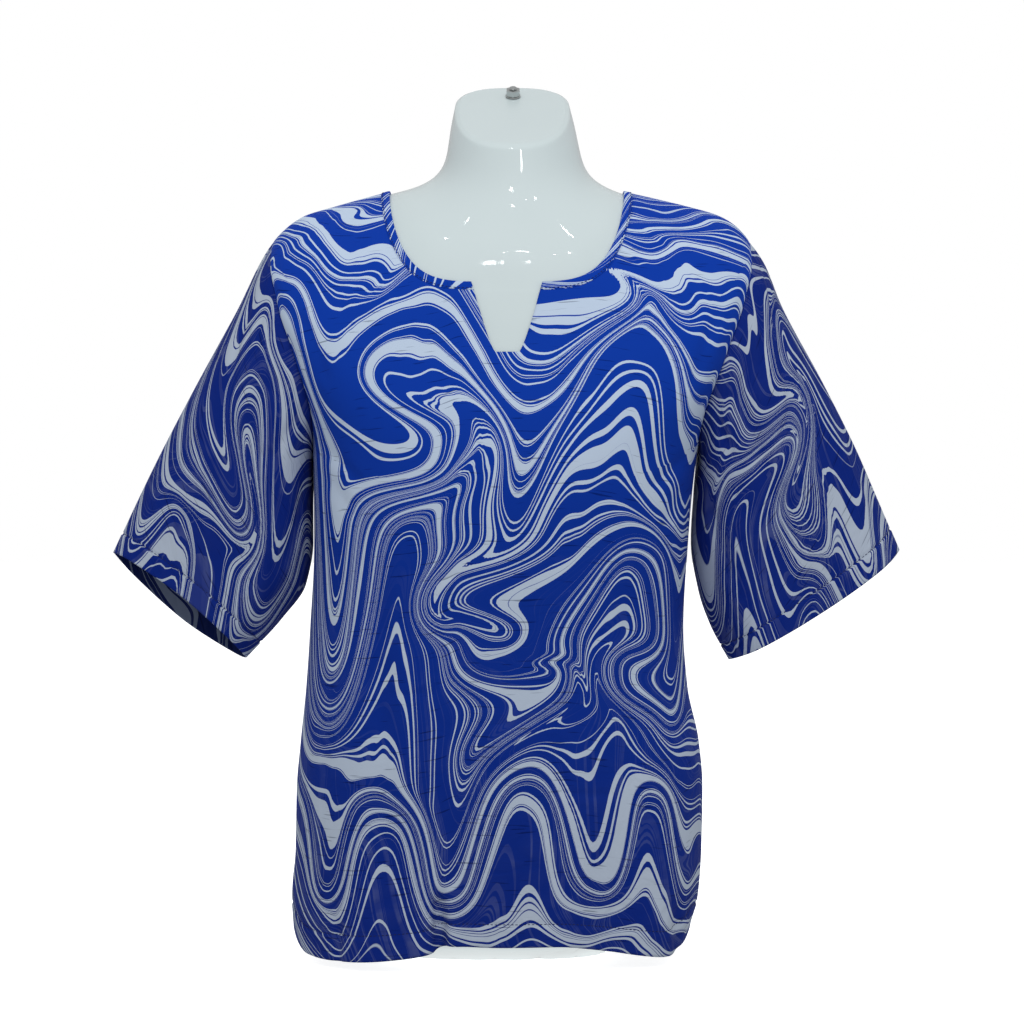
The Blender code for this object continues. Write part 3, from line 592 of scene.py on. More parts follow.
sleeves = {}
for hand in (-1, 1):
    ring = armhole_ring(hand, front_grid, back_grid)
    sleeves[side_of(hand)] = sleeve_grid(hand, ring)
print("sleeve grids", {side: grid.shape for side, (grid, groove) in sleeves.items()})

# %% [markdown]
# The print is marbled. On marbled paper a stylus is drawn through floating colour and drags along
# whatever lies near its path, so straight stripes turn into waves, hooks and hairpins. The same is
# done here: each stroke below is one pull of the stylus over the flat cloth. To find the colour of
# a place on the finished cloth, the pulls are undone from the last to the first, which gives where
# that place lay among the stripes. A row gives in millimetres where a pull starts and ends, across
# and up, and its radius. Near the stylus the colour moves almost as one, and the pull then falls
# off quickly, which is the stroke's flatness. A plain bell curve would pinch each turn to a point.
# The pulls are this object's own, and each piece is then cut from its own place on the printed
# cloth, turned by a few degrees.
# %% Marbling strokes
STROKE_STEPS = 10
STROKE_PULL = 0.75
STROKE_FLATNESS = 1.5
STROKES_MM = {
    "front": (
        (-150, 640, -130, 560, 50),
        (-15, 620, 30, 440, 55),
        (90, 380, 115, 520, 50),
        (-175, 520, -150, 200, 50),
        (-90, 200, -80, 380, 45),
        (10, 400, -5, 240, 45),
        (80, 180, 130, 340, 55),
        (-50, 240, -40, 120, 40),
        (150, 300, 150, 200, 35),
        (20, 30, 30, 140, 35),
        (80, 150, 90, 50, 35),
        (-30, 110, -35, 30, 30),
        (-95, 20, -100, 120, 35),
        (-150, 130, -150, 50, 30),
        (135, 60, 132, 140, 30),
        (-140, 440, -30, 410, 45),
        (20, 520, 110, 560, 35),
        (30, 300, -60, 290, 30),
        (-20, 190, 70, 220, 35),
        (150, 230, 90, 230, 30),
    ),
    "back": (
        (-120, 500, -100, 640, 50),
        (110, 660, 100, 500, 50),
        (-10, 480, -20, 620, 50),
        (150, 480, 155, 250, 45),
        (-150, 420, -140, 220, 45),
        (60, 260, 70, 430, 50),
        (-60, 400, -55, 250, 45),
        (0, 160, 10, 280, 40),
        (110, 200, 105, 80, 35),
        (-100, 100, -95, 220, 40),
        (50, 30, 55, 130, 30),
        (-30, 130, -35, 40, 30),
        (-145, 110, -140, 30, 30),
        (100, 540, 10, 560, 40),
        (-110, 340, -30, 360, 40),
        (10, 220, 90, 200, 35),
        (-120, 160, -50, 140, 30),
    ),
    "right": (
        (40, 20, 50, 150, 35),
        (105, 200, 110, 60, 40),
        (165, 50, 160, 180, 40),
        (70, 280, 75, 190, 30),
        (130, 210, 135, 290, 30),
        (215, 180, 210, 80, 35),
        (-185, 60, -180, 190, 45),
        (-95, 220, -100, 100, 45),
        (60, 120, 130, 140, 30),
        (-220, 220, -150, 210, 35),
    ),
    "left": (
        (50, 170, 45, 50, 35),
        (95, 40, 100, 190, 45),
        (150, 230, 150, 90, 40),
        (60, 200, 65, 280, 30),
        (120, 285, 115, 215, 25),
        (205, 80, 210, 180, 35),
        (-200, 200, -200, 70, 45),
        (-110, 80, -105, 210, 45),
        (130, 100, 60, 110, 30),
        (-160, 140, -230, 150, 35),
    ),
}
PIECE_OF_CLOTH = {
    "front": (5.15, 0.7, 0.0),
    "back": (2.8, 0.9, 8.0),
    "right": (5.7, 2.2, -14.0),
    "left": (6.2, 1.5, 30.0),
    "band": (3.4, 2.3, 0.0),
}


def marbled_place(cloth, piece):
    """Undo a piece's strokes, then move and turn it to where it was cut from the printed cloth."""
    place = cloth.copy()
    for x0, up0, x1, up1, radius in np.array(STROKES_MM.get(piece, ()))[::-1] / 1000.0:
        step = np.array((x1 - x0, up1 - up0)) / STROKE_STEPS
        for k in reversed(range(STROKE_STEPS)):
            stylus = np.array((x0, up0)) + step * (k + 0.5)
            far = np.sum((place - stylus) ** 2, axis=-1) / radius ** 2
            near = np.exp(-far ** STROKE_FLATNESS)
            place = place - STROKE_PULL * near[..., None] * step
    across, up, turn = PIECE_OF_CLOTH[piece]
    turn = math.radians(turn)
    turned = np.array(((math.cos(turn), math.sin(turn)), (-math.sin(turn), math.cos(turn))))
    return place @ turned + np.array((across, up))


# %% [markdown]
# One function turns a grid of places into a mesh object. create_grid makes the flat faces and each
# vertex is moved to its place. A tube's first and last columns are the same, so they are merged.
# The cloth's own coordinates go in as a UV map in metres, so that weave and stitches keep their
# real size, and the marbled ones as a second map. A UV map may jump at a seam, which a value kept
# on the vertices can't. A Solidify modifier gives the cloth its thickness.
# %% Make a cloth piece
CLOTH_THICKNESS = 0.0006
MERGE_DISTANCE = 1e-6


def finished(bm, name, smooth=True):
    """Turn a finished bmesh into an object of the scene."""
    mesh = bpy.data.meshes.new(name)
    bm.to_mesh(mesh)
    bm.free()
    if smooth:
        mesh.shade_smooth()
    made = bpy.data.objects.new(name, mesh)
    bpy.context.scene.collection.objects.link(made)
    return made


def cloth_piece(name, grid, cloth, marble, slack_and_painted_shade, closed=False, open_cell=None):
    """Build one cloth piece from its grid, its flat coordinates and its print's coordinates."""
    if closed:
        grid = np.concatenate((grid, grid[:, :1]), axis=1)
    rows, columns = grid.shape[:2]
    bm = bmesh.new()
    bmesh.ops.create_grid(bm, x_segments=columns - 1, y_segments=rows - 1, size=1.0)
    uv = bm.loops.layers.uv.new("cloth")
    marble_uv = bm.loops.layers.uv.new("marble")
    slack_and_shade_layer = bm.verts.layers.float.new("slack_and_painted_shade")
    spots = {}
    for vert in bm.verts:
        column = round((vert.co.x + 1.0) / 2.0 * (columns - 1))
        row = round((vert.co.y + 1.0) / 2.0 * (rows - 1))
        spots[vert] = (row, column)
    gone = []
    for face in bm.faces:
        for loop in face.loops:
            loop[uv].uv = cloth[spots[loop.vert]]
            loop[marble_uv].uv = marble[spots[loop.vert]]
        if open_cell and all(open_cell(*spots[vert]) for vert in face.verts):
            gone.append(face)
    for vert, (row, column) in spots.items():
        vert.co = grid[row, column]
        vert[slack_and_shade_layer] = slack_and_painted_shade[row, column]
    bmesh.ops.delete(bm, geom=gone, context="FACES")
    if closed:
        bmesh.ops.remove_doubles(bm, verts=bm.verts, dist=MERGE_DISTANCE)
    bm.normal_update()
    middle = grid.mean(axis=(0, 1))
    facing = sum((face.calc_center_median() - Vector(middle)).dot(face.normal)
                 for face in bm.faces)
    if facing < 0:
        bmesh.ops.reverse_faces(bm, faces=bm.faces)
    piece = finished(bm, name)
    thickness = piece.modifiers.new("cloth thickness", "SOLIDIFY")
    thickness.thickness = CLOTH_THICKNESS
    thickness.offset = -1.0
    thickness.material_offset = 1
    area = sum(polygon.area for polygon in piece.data.polygons)
    print(name, len(piece.data.polygons), "cells,", round(area, 4), "m2")
    return piece, area

# %% [markdown]
# Where the white form lies right behind the cloth, light would come back through it, so the blue
# and the pale are painted brighter there. In the sleeves and near the hem nothing backs it, so they
# are painted darker. This painted shade also leaves the lower body darker than the bust, and there
# the back layer shows through faintly. A value on each vertex holds that: 0 on the form, 1 where
# the cloth hangs free.
# %% Build the panels
WAIST_Z = 0.30
WAIST_SLACK_AND_SHADE = 0.6
SLACK_AND_SHADE_FADE = 0.22


def panel_slack_and_shade(grid):
    """Say how freely each point of a panel hangs, from 0 on the bust to 1 at the hem, and so its
    painted shade.
    """
    z = grid[:, :, 2]
    below = blend(1.0, WAIST_SLACK_AND_SHADE, z / WAIST_Z)
    return below * blend(1.0, 0.0, (z - WAIST_Z) / SLACK_AND_SHADE_FADE)


def in_notch(row, column):
    """Tell whether a point lies in the open notch, its edges included."""
    top_rows = row >= HEM_ROWS + SIDE_ROWS + SLEEVE_STEPS
    return top_rows and abs(column - HALF_COLUMNS * FINE) <= FINE


panels = {}
for face, grid, cloth in (("front", front_grid, front_cloth), ("back", back_grid, back_cloth)):
    marble = marbled_place(cloth, face)
    cut = in_notch if face == "front" else None
    piece, area = cloth_piece("blouse_" + face, grid, cloth, marble, panel_slack_and_shade(grid),
                              open_cell=cut)
    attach(piece, "root")
    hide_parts(face)
    panels[face] = piece

# %% [markdown]
# The sleeves get the same treatment. Each hangs free from its armhole, so it gets the full value:
# the darker colours of painted shade, the deepest wrinkles and the strongest ghost lines. Its flat
# cloth runs from one side of the underarm seam round to the other, with 0 on the top fold.
# %% Build the sleeves
sleeve_pieces = {}
for side, (rings, groove) in sleeves.items():
    grid = np.roll(rings, -SLEEVE_STEPS, axis=1)
    cloth = cloth_lengths(np.concatenate((grid, grid[:, :1]), axis=1))
    marble = marbled_place(cloth, side)
    slack_and_painted_shade = np.ones(cloth.shape[:2])
    piece, area = cloth_piece("blouse_sleeve_" + side, grid, cloth, marble, slack_and_painted_shade, closed=True)
    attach(piece, "root")
    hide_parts("sleeve_" + side)
    sleeve_pieces[side] = piece

# %% [markdown]
# The neck band is a narrow folded binding. Its cross-section is a flat loop with rounded edges,
# given as how far across the band and how far out of the cloth each corner lies. It runs from one
# corner of the notch round the back of the neck to the other corner.
# %% Build the neck band
BAND_SECTION = (
    ("across", "out_mm"),
    (0.0, -0.5),
    (-0.02, 0.1),
    (0.05, 0.5),
    (0.22, 0.62),
    (0.5, 0.7),
    (0.8, 0.66),
    (0.95, 0.4),
    (1.0, -0.1),
    (0.96, -0.6),
    (0.8, -0.9),
    (0.4, -0.95),
    (0.1, -0.85),
)


def band_path():
    """Return the band's lower and upper edge, from the notch's right corner to its left."""
    steps = [k / FINE for k in range(FINE, HALF_COLUMNS * FINE + 1)]
    places = [("front", -column) for column in steps]
    places += [("back", k / FINE) for k in range(-HALF_COLUMNS * FINE + 1, HALF_COLUMNS * FINE)]
    places += [("front", column) for column in steps[::-1]]
    low = [on_body(face, column, band_station(face, column, BAND_WIDTH)) for face, column in places]
    high = [on_body(face, column, 1.0) for face, column in places]
    return np.array(low), np.array(high)


def band_grid():
    """Return the band's places: a ring of its section at each step along the neck."""
    low, high = band_path()
    along = np.gradient(low + high, axis=0)
    out = np.cross(along, high - low)
    out /= np.linalg.norm(out, axis=1, keepdims=True)
    inside = (low + high).mean(axis=0) / 2
    out *= np.sign(np.sum(out * ((low + high) / 2 - inside), axis=1).sum())
    rings = [low + (high - low) * across + out * out_mm / 1000.0
             for across, out_mm in BAND_SECTION[1:]]
    return np.array(rings).transpose(1, 0, 2)


neck_grid = band_grid()
neck_cloth = cloth_lengths(np.concatenate((neck_grid, neck_grid[:, :1]), axis=1), closed=True)
neck_marble = marbled_place(neck_cloth, "band")
neck_piece, neck_area = cloth_piece("blouse_neck_band", neck_grid, neck_cloth, neck_marble,
                                    np.zeros(neck_cloth.shape[:2]), closed=True)
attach(neck_piece, "root")
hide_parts("neck_band")

# %% [markdown]
# Colours are picked as sRGB hex values, as in any paint program, but Blender's shaders work in
# linear light, so one function turns them. Another adds a node with its settings and links in one
# call, which keeps a node tree as short to read as it is to describe.
# %% Colour and node helpers
def linear(hex_colour):
    """Turn an sRGB hex colour to linear light with full alpha."""
    channels = [int(hex_colour[k:k + 2], 16) / 255.0 for k in (1, 3, 5)]
    light = [c / 12.92 if c <= 0.04045 else ((c + 0.055) / 1.055) ** 2.4 for c in channels]
    return (*light, 1.0)


def add_node(tree, kind, settings=None, take=None, **inputs):
    """Add a node and return the output to take, or its first one.

    Settings are the node's properties, or one word for its operation. Inputs are values, or
    outputs to link from, under the input's name, or under i and its number.
    """
    settings = {"operation": settings} if isinstance(settings, str) else settings
    node = tree.nodes.new(kind if kind.startswith("NodeGroup") else "ShaderNode" + kind)
    for name, value in (settings or {}).items():
        setattr(node, name, value)
    for name, value in inputs.items():
        key = int(name[1:]) if name[0] == "i" and name[1:].isdigit() else name.replace("_", " ")
        if isinstance(value, bpy.types.NodeSocket):
            tree.links.new(value, node.inputs[key])
        else:
            node.inputs[key].default_value = value
    outputs = [output for output in node.outputs if output.enabled and take in (None, output.name)]
    return outputs[0] if outputs else None


def new_material(name, **sockets):
    """Make a material, set its shader's own sockets, and return it, its tree and the shader."""
    material = bpy.data.materials.new(name)
    material.use_nodes = True
    shader = material.node_tree.nodes["Principled BSDF"]
    for socket, value in sockets.items():
        shader.inputs[socket.replace("_", " ")].default_value = value
    return material, material.node_tree, shader


COLOUR_MIX = {"data_type": "RGBA"}


# %% [markdown]
# The stripes before the strokes are a one-dimensional pattern. Three noises first bend the place a
# little, from a hand's width down to a finger's width, so that no stroke looks drawn with a ruler,
# and one direction is then read off as a single number. Lines run where that number's own noises
# pass a level: a coarse one gives the broad lines and a fine one the bundles of thin lines. Where
# the strokes stretch the stripes, they open into blue lakes and thick crests, just as on marbled
# paper.
# %% The marbled lines as a node group
BENDS = (
    ("size_mm", "reach_mm", "detail"),
    (120.0, 90.0, 0.0),
    (55.0, 48.0, 0.0),
    (24.0, 8.0, 0.5),
)
BENDS_APART = (5.0, 3.0)
GRAIN = (0.25, 1.15, 0.0)
NOISE_STARTS = (0.0, 7.0, 3.0)
BROAD_PITCH_MM = 6.0
THIN_PITCH_MM = 3.4
BUNDLE_PITCH_MM = 20.0
BROAD_LEVEL = 0.78
BROAD_WIDTH = 0.065
THIN_LEVEL = 1.235
BUNDLE_PULL = -1.1
EDGE_SHARPNESS = 60.0


def marbled_lines():
    """Make the node group that turns a place on the cloth into 1 on a pale line and 0 on blue."""
    group = bpy.data.node_groups.new("marbled lines", "ShaderNodeTree")
    group.interface.new_socket("Place", in_out="INPUT", socket_type="NodeSocketVector")
    group.interface.new_socket("Line", in_out="OUTPUT", socket_type="NodeSocketFloat")
    place = add_node(group, "NodeGroupInput")
    for number, (size, reach, detail) in enumerate(BENDS[1:]):
        moved = add_node(group, "VectorMath", "ADD", i0=place,
                         i1=(BENDS_APART[0] * number, BENDS_APART[1] * number, 0.0))
        bend = add_node(group, "TexNoise", {"noise_dimensions": "3D"}, take="Color", Vector=moved,
                        Scale=1000.0 / size, Detail=detail)
        centred = add_node(group, "VectorMath", "SUBTRACT", i0=bend, i1=(0.5, 0.5, 0.5))
        place = add_node(group, "VectorMath", "MULTIPLY_ADD", i0=centred,
                         i1=(reach / 1000.0, reach / 1000.0, 0.0), i2=place)
    stripe = add_node(group, "VectorMath", "DOT_PRODUCT", i0=place, i1=GRAIN)
    levels = []
    for start, pitch in zip(NOISE_STARTS, (BROAD_PITCH_MM, THIN_PITCH_MM, BUNDLE_PITCH_MM)):
        shifted = add_node(group, "Math", "ADD", i0=stripe, i1=start)
        levels.append(add_node(group, "TexNoise", {"noise_dimensions": "1D"}, Detail=0.0,
                               W=shifted, Scale=1000.0 / pitch))
    broad, thin, bundle = levels
    off = add_node(group, "Math", "SUBTRACT", i0=broad, i1=BROAD_LEVEL)
    distance = add_node(group, "Math", "ABSOLUTE", i0=off)
    broad_line = add_node(group, "Math", "SUBTRACT", i0=BROAD_WIDTH, i1=distance)
    level = add_node(group, "Math", "MULTIPLY_ADD", i0=bundle, i1=BUNDLE_PULL, i2=THIN_LEVEL)
    thin_line = add_node(group, "Math", "SUBTRACT", i0=thin, i1=level)
    either = add_node(group, "Math", "MAXIMUM", i0=broad_line, i1=thin_line)
    line = add_node(group, "Math", {"operation": "MULTIPLY_ADD", "use_clamp": True}, i0=either,
                    i1=EDGE_SHARPNESS, i2=0.5)
    add_node(group, "NodeGroupOutput", Line=line)
    return group


LINES = marbled_lines()

# %% [markdown]
# The cloth is a light polyester crepe, printed on one side. It is matt with a slight sheen, and its
# fine crepe grain is a bump. Here and there a thin dash runs across, sunk as a small groove and
# darkened in the colour, a painted shade in that little crease. Where it hangs free it crinkles
# more, and the layer behind shows through as faint ghost lines, most of all on the wrinkles'
# ridges. Those ridges are also painted a little paler, a painted light on the ridges. The blue and
# the pale are painted brighter where the white form backs the cloth, and darker, as painted shade,
# where it hangs free. The colours on the wrong side are duller, because the print doesn't go all
# the way through, and darker, as painted shade for the insides of the sleeves and the hem.
# %% Printed polyester crepe
# Each pair is one cloth colour painted lit, where the form backs it, and painted in shade, where it
# hangs free.
BLUE_PAINTED_LIT = "#103ca8"
BLUE_PAINTED_SHADE = "#0a267e"
PALE_PAINTED_LIT = "#c2d3e9"
PALE_PAINTED_SHADE = "#b2bed0"
CREPE_GRAIN_MM = 1.1
WRINKLE_MM = 26.0
GHOST_PLACE = {"Location": (0.37, 0.23, 0.0), "Rotation": (0.0, 0.0, 0.7),
               "Scale": (1.5, 1.5, 1.0)}
GHOST_STRENGTH = {"right side": 0.10, "wrong side": 0.05}
RIDGE_PAINTED_LIGHT = 0.012
RIDGE_RANGE = (0.42, 0.66)
LEAST_RIDGE = 0.35
HANGS_FROM = 0.5
# The dashes are painted shade: thin grooves darkened in the colour.
DASH_LENGTH_MM = 34.0
DASH_PITCH_MM = 2.2
DASH_RANGE = (0.66, 0.72)
DASH_PAINTED_SHADE = 0.55
DASH_SHADE_COLOUR = "#5a6076"
WRINKLE_DEPTH = (0.0006, 0.0040)


def printed_crepe(name, blues, pales, ghost_strength):
    """Make the printed cloth, given its painted-lit colours on the form and its painted-shade
    colours hanging free.
    """
    material, tree, shader = new_material(name, Roughness=0.60, IOR=1.45, Specular_IOR_Level=0.03,
                                          Sheen_Weight=0.012, Sheen_Roughness=0.45)
    marble = add_node(tree, "UVMap", {"uv_map": "marble"})
    slack_and_painted_shade = add_node(tree, "Attribute", {"attribute_name": "slack_and_painted_shade"}, take="Fac")
    cloth = add_node(tree, "UVMap", {"uv_map": "cloth"})
    line = add_node(tree, "Group", {"node_tree": LINES}, Place=marble)
    hangs = add_node(tree, "MapRange", Value=slack_and_painted_shade, From_Min=HANGS_FROM, From_Max=1.0)
    behind = add_node(tree, "Mapping", Vector=marble, **GHOST_PLACE)
    ghost = add_node(tree, "Group", {"node_tree": LINES}, Place=behind)
    # Painted shade: the mask blends the lit blue and pale towards their darker copies where the
    # cloth hangs free.
    blue = add_node(tree, "Mix", COLOUR_MIX, Factor=slack_and_painted_shade, A=linear(blues[0]), B=linear(blues[1]))
    pale = add_node(tree, "Mix", COLOUR_MIX, Factor=slack_and_painted_shade, A=linear(pales[0]), B=linear(pales[1]))
    wrinkle = add_node(tree, "TexNoise", Vector=cloth, Detail=3.0, Distortion=0.8,
                       Scale=1000.0 / WRINKLE_MM)
    # On the wrinkles' ridges the ghost lines show more, and the ground is painted a little paler:
    # painted light on the ridges.
    on_ridge = add_node(tree, "MapRange", Value=wrinkle, From_Min=RIDGE_RANGE[0],
                        From_Max=RIDGE_RANGE[1], To_Min=LEAST_RIDGE)
    seen = add_node(tree, "Math", "MULTIPLY_ADD", i0=ghost, i1=ghost_strength, i2=RIDGE_PAINTED_LIGHT)
    shown = add_node(tree, "Math", "MULTIPLY", i0=seen, i1=on_ridge)
    share = add_node(tree, "Math", "MULTIPLY", i0=shown, i1=hangs)
    ground = add_node(tree, "Mix", COLOUR_MIX, Factor=share, A=blue, B=pale)
    printed = add_node(tree, "Mix", COLOUR_MIX, Factor=line, A=ground, B=pale)
    # Thin dashes across the cloth: the bump sinks them as small grooves and the colour darkens
    # them, a painted shade in each.
    stretched = add_node(tree, "Mapping", Vector=cloth,
                         Scale=(1000.0 / DASH_LENGTH_MM, 1000.0 / DASH_PITCH_MM, 1.0))
    dash_noise = add_node(tree, "TexNoise", Vector=stretched, Scale=1.0, Detail=1.0)
    dash = add_node(tree, "MapRange", Value=dash_noise, From_Min=DASH_RANGE[0], From_Max=DASH_RANGE[1],
                    To_Min=0.0, To_Max=DASH_PAINTED_SHADE)
    darker = add_node(tree, "Mix", {"data_type": "RGBA", "blend_type": "MULTIPLY"}, Factor=dash,
                      A=printed, B=linear(DASH_SHADE_COLOUR))
    tree.links.new(darker, shader.inputs["Base Color"])
    grain = add_node(tree, "TexNoise", Vector=cloth, Scale=1000.0 / CREPE_GRAIN_MM, Detail=2.0)
    slack = add_node(tree, "MapRange", Value=hangs, To_Min=WRINKLE_DEPTH[0],
                     To_Max=WRINKLE_DEPTH[1])
    height = add_node(tree, "Math", "MULTIPLY", i0=wrinkle, i1=slack)
    crinkled = add_node(tree, "Bump", Height=height, Strength=0.6, Distance=1.0)
    fine = add_node(tree, "Bump", Height=grain, Strength=0.12, Distance=0.0004, Normal=crinkled)
    bump = add_node(tree, "Bump", {"invert": True}, Height=dash, Strength=0.3, Distance=0.0006,
                    Normal=fine)
    tree.links.new(bump, shader.inputs["Normal"])
    return material


crepe_right_side = printed_crepe("printed polyester crepe", (BLUE_PAINTED_LIT, BLUE_PAINTED_SHADE),
                                 (PALE_PAINTED_LIT, PALE_PAINTED_SHADE), GHOST_STRENGTH["right side"])
# The wrong side's colours are duller, and also darker: a painted shade for the insides of the
# sleeves and the hem.
crepe_wrong_side_shaded = printed_crepe("printed polyester crepe, wrong side, painted shade", ("#16286c", "#121f54"),
                                 ("#8d97ae", "#6c7892"), GHOST_STRENGTH["wrong side"])
for piece in (*panels.values(), *sleeve_pieces.values(), neck_piece):
    piece.data.materials.append(crepe_right_side)
    piece.data.materials.append(crepe_wrong_side_shaded)

# %% [markdown]
# A seam is held by thread. Seen from a step away, a row of machine stitches is a thin broken line,
# so each stitch here is a small rounded grain of thread, laid along the cloth in real size. They
# are one mesh for each row, since hundreds of separate objects would be slow to handle.
# %% Stitch rows
STITCH_LENGTH = 0.0026
STITCH_PITCH = 0.0034
STITCH_THICKNESS = 0.0008
FACES_OF_A_STITCH = 20


def along_path(places, pitch):
    """Return evenly spaced places along a path, and the way the path runs at each."""
    lengths = running_length(places)
    at = np.arange(pitch / 2, lengths[-1], pitch)
    ahead = place_along(places, lengths, at + pitch / 4)
    back = place_along(places, lengths, at - pitch / 4)
    return place_along(places, lengths, at), ahead - back


def stitch_row(name, places, material):
    """Lay a row of stitches along a path, as one piece."""
    bm = bmesh.new()
    for spot, way in zip(*along_path(np.array(places), STITCH_PITCH)):
        turn = Vector(way).to_track_quat("X", "Z").to_matrix().to_4x4()
        size = Matrix.Diagonal((STITCH_LENGTH / 2, STITCH_THICKNESS / 2, STITCH_THICKNESS / 2, 1.0))
        bmesh.ops.create_icosphere(bm, subdivisions=1, radius=1.0,
                                   matrix=Matrix.Translation(spot) @ turn @ size)
    row = finished(bm, name)
    row.data.materials.append(material)
    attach(row, "root")
    print(name, len(row.data.polygons) // FACES_OF_A_STITCH, "stitches")


# %% [markdown]
# The thread is ordinary spun polyester, dyed to match the ground. Spun thread is matt and slightly
# hairy, which a fine noise in its colour and its bump gives.
# %% Spun polyester thread
TWIST_MM = 0.4

thread, thread_tree, thread_shader = new_material("spun polyester thread", Roughness=0.75)
thread_place = add_node(thread_tree, "TexCoord", take="Object")
thread_twist = add_node(thread_tree, "TexNoise", Vector=thread_place, Scale=1000.0 / TWIST_MM,
                        Detail=1.0)
thread_colour = add_node(thread_tree, "Mix", COLOUR_MIX, Factor=thread_twist, A=linear("#08103a"),
                         B=linear("#101c58"))
thread_tree.links.new(thread_colour, thread_shader.inputs["Base Color"])
thread_bump = add_node(thread_tree, "Bump", Height=thread_twist, Strength=0.2, Distance=0.0002)
thread_tree.links.new(thread_bump, thread_shader.inputs["Normal"])

# %% [markdown]
# The rows follow the hems' stitched lines and lie just off the cloth. On the neck band the row
# runs between the third and the fourth corner of its section, nearer the fourth.
# %% Lay the stitches
THREAD_LIFT = 0.0001
BAND_STITCH = (0.7, 0.3)


def lifted(grid, row, closed=False):
    """Return one row of a grid, lifted just off the cloth."""
    line = grid[row] + outward(grid, closed)[row] * THREAD_LIFT
    return np.concatenate((line, line[:1])) if closed else line


stitch_row("stitches_hem_front", lifted(front_grid, HEM_ROWS), thread)
stitch_row("stitches_hem_back", lifted(back_grid, HEM_ROWS), thread)
for side, (grid, groove) in sleeves.items():
    stitch_row("stitches_cuff_" + side, lifted(grid, groove, closed=True), thread)
neck_line = neck_grid[:, 3] * BAND_STITCH[0] + neck_grid[:, 2] * BAND_STITCH[1]
stitch_row("stitches_neck_band", neck_line, thread)

# %% [markdown]
# The form is a hollow plastic torso, moulded and lacquered. Its CAD mesh is coarse, and on a
# glossy surface the light would show every facet. So a copy of it is merged, its triangles are
# joined back to four-sided faces, and a Subdivision Surface modifier rounds it, which suits a
# moulded shape. A partial crease keeps the rim of the slanted top, which would otherwise melt
# away.
# %% The moulded form
FORM_LEVELS = 2
RIM_ANGLE = math.radians(22.0)
RIM_CREASE = 0.50
JOIN_BEND = math.radians(40.0)
JOIN_SKEW = math.radians(60.0)

form_bm = bmesh.new()
form_bm.from_mesh(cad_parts["dress_form"].data)
bmesh.ops.remove_doubles(form_bm, verts=form_bm.verts, dist=MERGE_DISTANCE)
bmesh.ops.join_triangles(form_bm, faces=form_bm.faces, angle_face_threshold=JOIN_BEND,
                         angle_shape_threshold=JOIN_SKEW)
crease_layer = form_bm.edges.layers.float.new("crease_edge")
for edge in form_bm.edges:
    if edge.calc_face_angle(0.0) > RIM_ANGLE:
        edge[crease_layer] = RIM_CREASE
form_piece = finished(form_bm, "moulded_form")
print("moulded form", len(form_piece.data.polygons), "faces before it is rounded")
rounding = form_piece.modifiers.new("moulded shape", "SUBSURF")
rounding.levels = FORM_LEVELS
rounding.render_levels = FORM_LEVELS
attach(form_piece, "root")
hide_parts("dress_form")

# %% [markdown]
# A clear coat over a slightly rougher white gives sharp highlights over a soft body colour, and a
# very faint waviness keeps the highlights from looking computed. The form stands on a light table,
# and its foot is given a painted glow. This emission is strongest where the foot meets the table
# and fades out a few centimetres up, standing in for table light passed on through the white
# plastic.
# %% Lacquered white plastic
GLOW_HEIGHT = 0.035
GLOW_STRENGTH = 0.60
MOTTLE_SCALE = 9.0
WAVE_SCALE = 28.0

form_white, form_tree, form_shader = new_material(
    "lacquered white plastic", Roughness=0.40, Coat_Weight=0.9, Coat_Roughness=0.04,
    Emission_Color=linear("#f4fbfb"))
form_place = add_node(form_tree, "TexCoord", take="Object")
form_mottle = add_node(form_tree, "TexNoise", Vector=form_place, Scale=MOTTLE_SCALE, Detail=2.0)
form_colour = add_node(form_tree, "Mix", COLOUR_MIX, Factor=form_mottle, A=linear("#cddbdd"),
                       B=linear("#d6e3e5"))
form_tree.links.new(form_colour, form_shader.inputs["Base Color"])
form_wave = add_node(form_tree, "TexNoise", Vector=form_place, Scale=WAVE_SCALE, Detail=1.0)
form_bump = add_node(form_tree, "Bump", Height=form_wave, Strength=0.05, Distance=0.001)
form_tree.links.new(form_bump, form_shader.inputs["Coat Normal"])
# The foot's glow is painted light: an emission that fades out a few centimetres up the foot.
form_height = add_node(form_tree, "SeparateXYZ", take="Z", Vector=form_place)
form_glow = add_node(form_tree, "MapRange", Value=form_height, From_Min=0.0, From_Max=GLOW_HEIGHT,
                     To_Min=GLOW_STRENGTH, To_Max=0.0)
form_tree.links.new(form_glow, form_shader.inputs["Emission Strength"])
form_piece.data.materials.append(form_white)

# %% [markdown]
# The stud on the slanted top is where the form can be hung. It is a nut and the end of a threaded
# rod over a washer. Each part is a short cone or cylinder, set square to the slant: the nut has
# six sides with its corners bevelled, and the thread is a stack of rings that narrow and widen.
# %% Stud, nut and washer
CAP_SLOPE = 0.60
STUD_OUT = Vector((0.0, -CAP_SLOPE, 1.0)).normalized()
WASHER = {"radius": 0.0067, "thickness": 0.0006, "taper": 0.0003}
NUT = {"radius": 0.0065, "height": 0.0056, "bevel": 0.0005}
THREAD = {"outer": 0.0033, "inner": 0.0028, "pitch": 0.0009, "turns": 2}
ROUND_SIDES = 48
NUT_SIDES = 6
THREAD_SIDES = 24

stud_low, stud_high = (Vector(corner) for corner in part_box("neck_stud"))
STUD_HEIGHT = 0.0080
stud_middle = (stud_low + stud_high) / 2
stud_foot = stud_middle - STUD_OUT * STUD_HEIGHT / 2


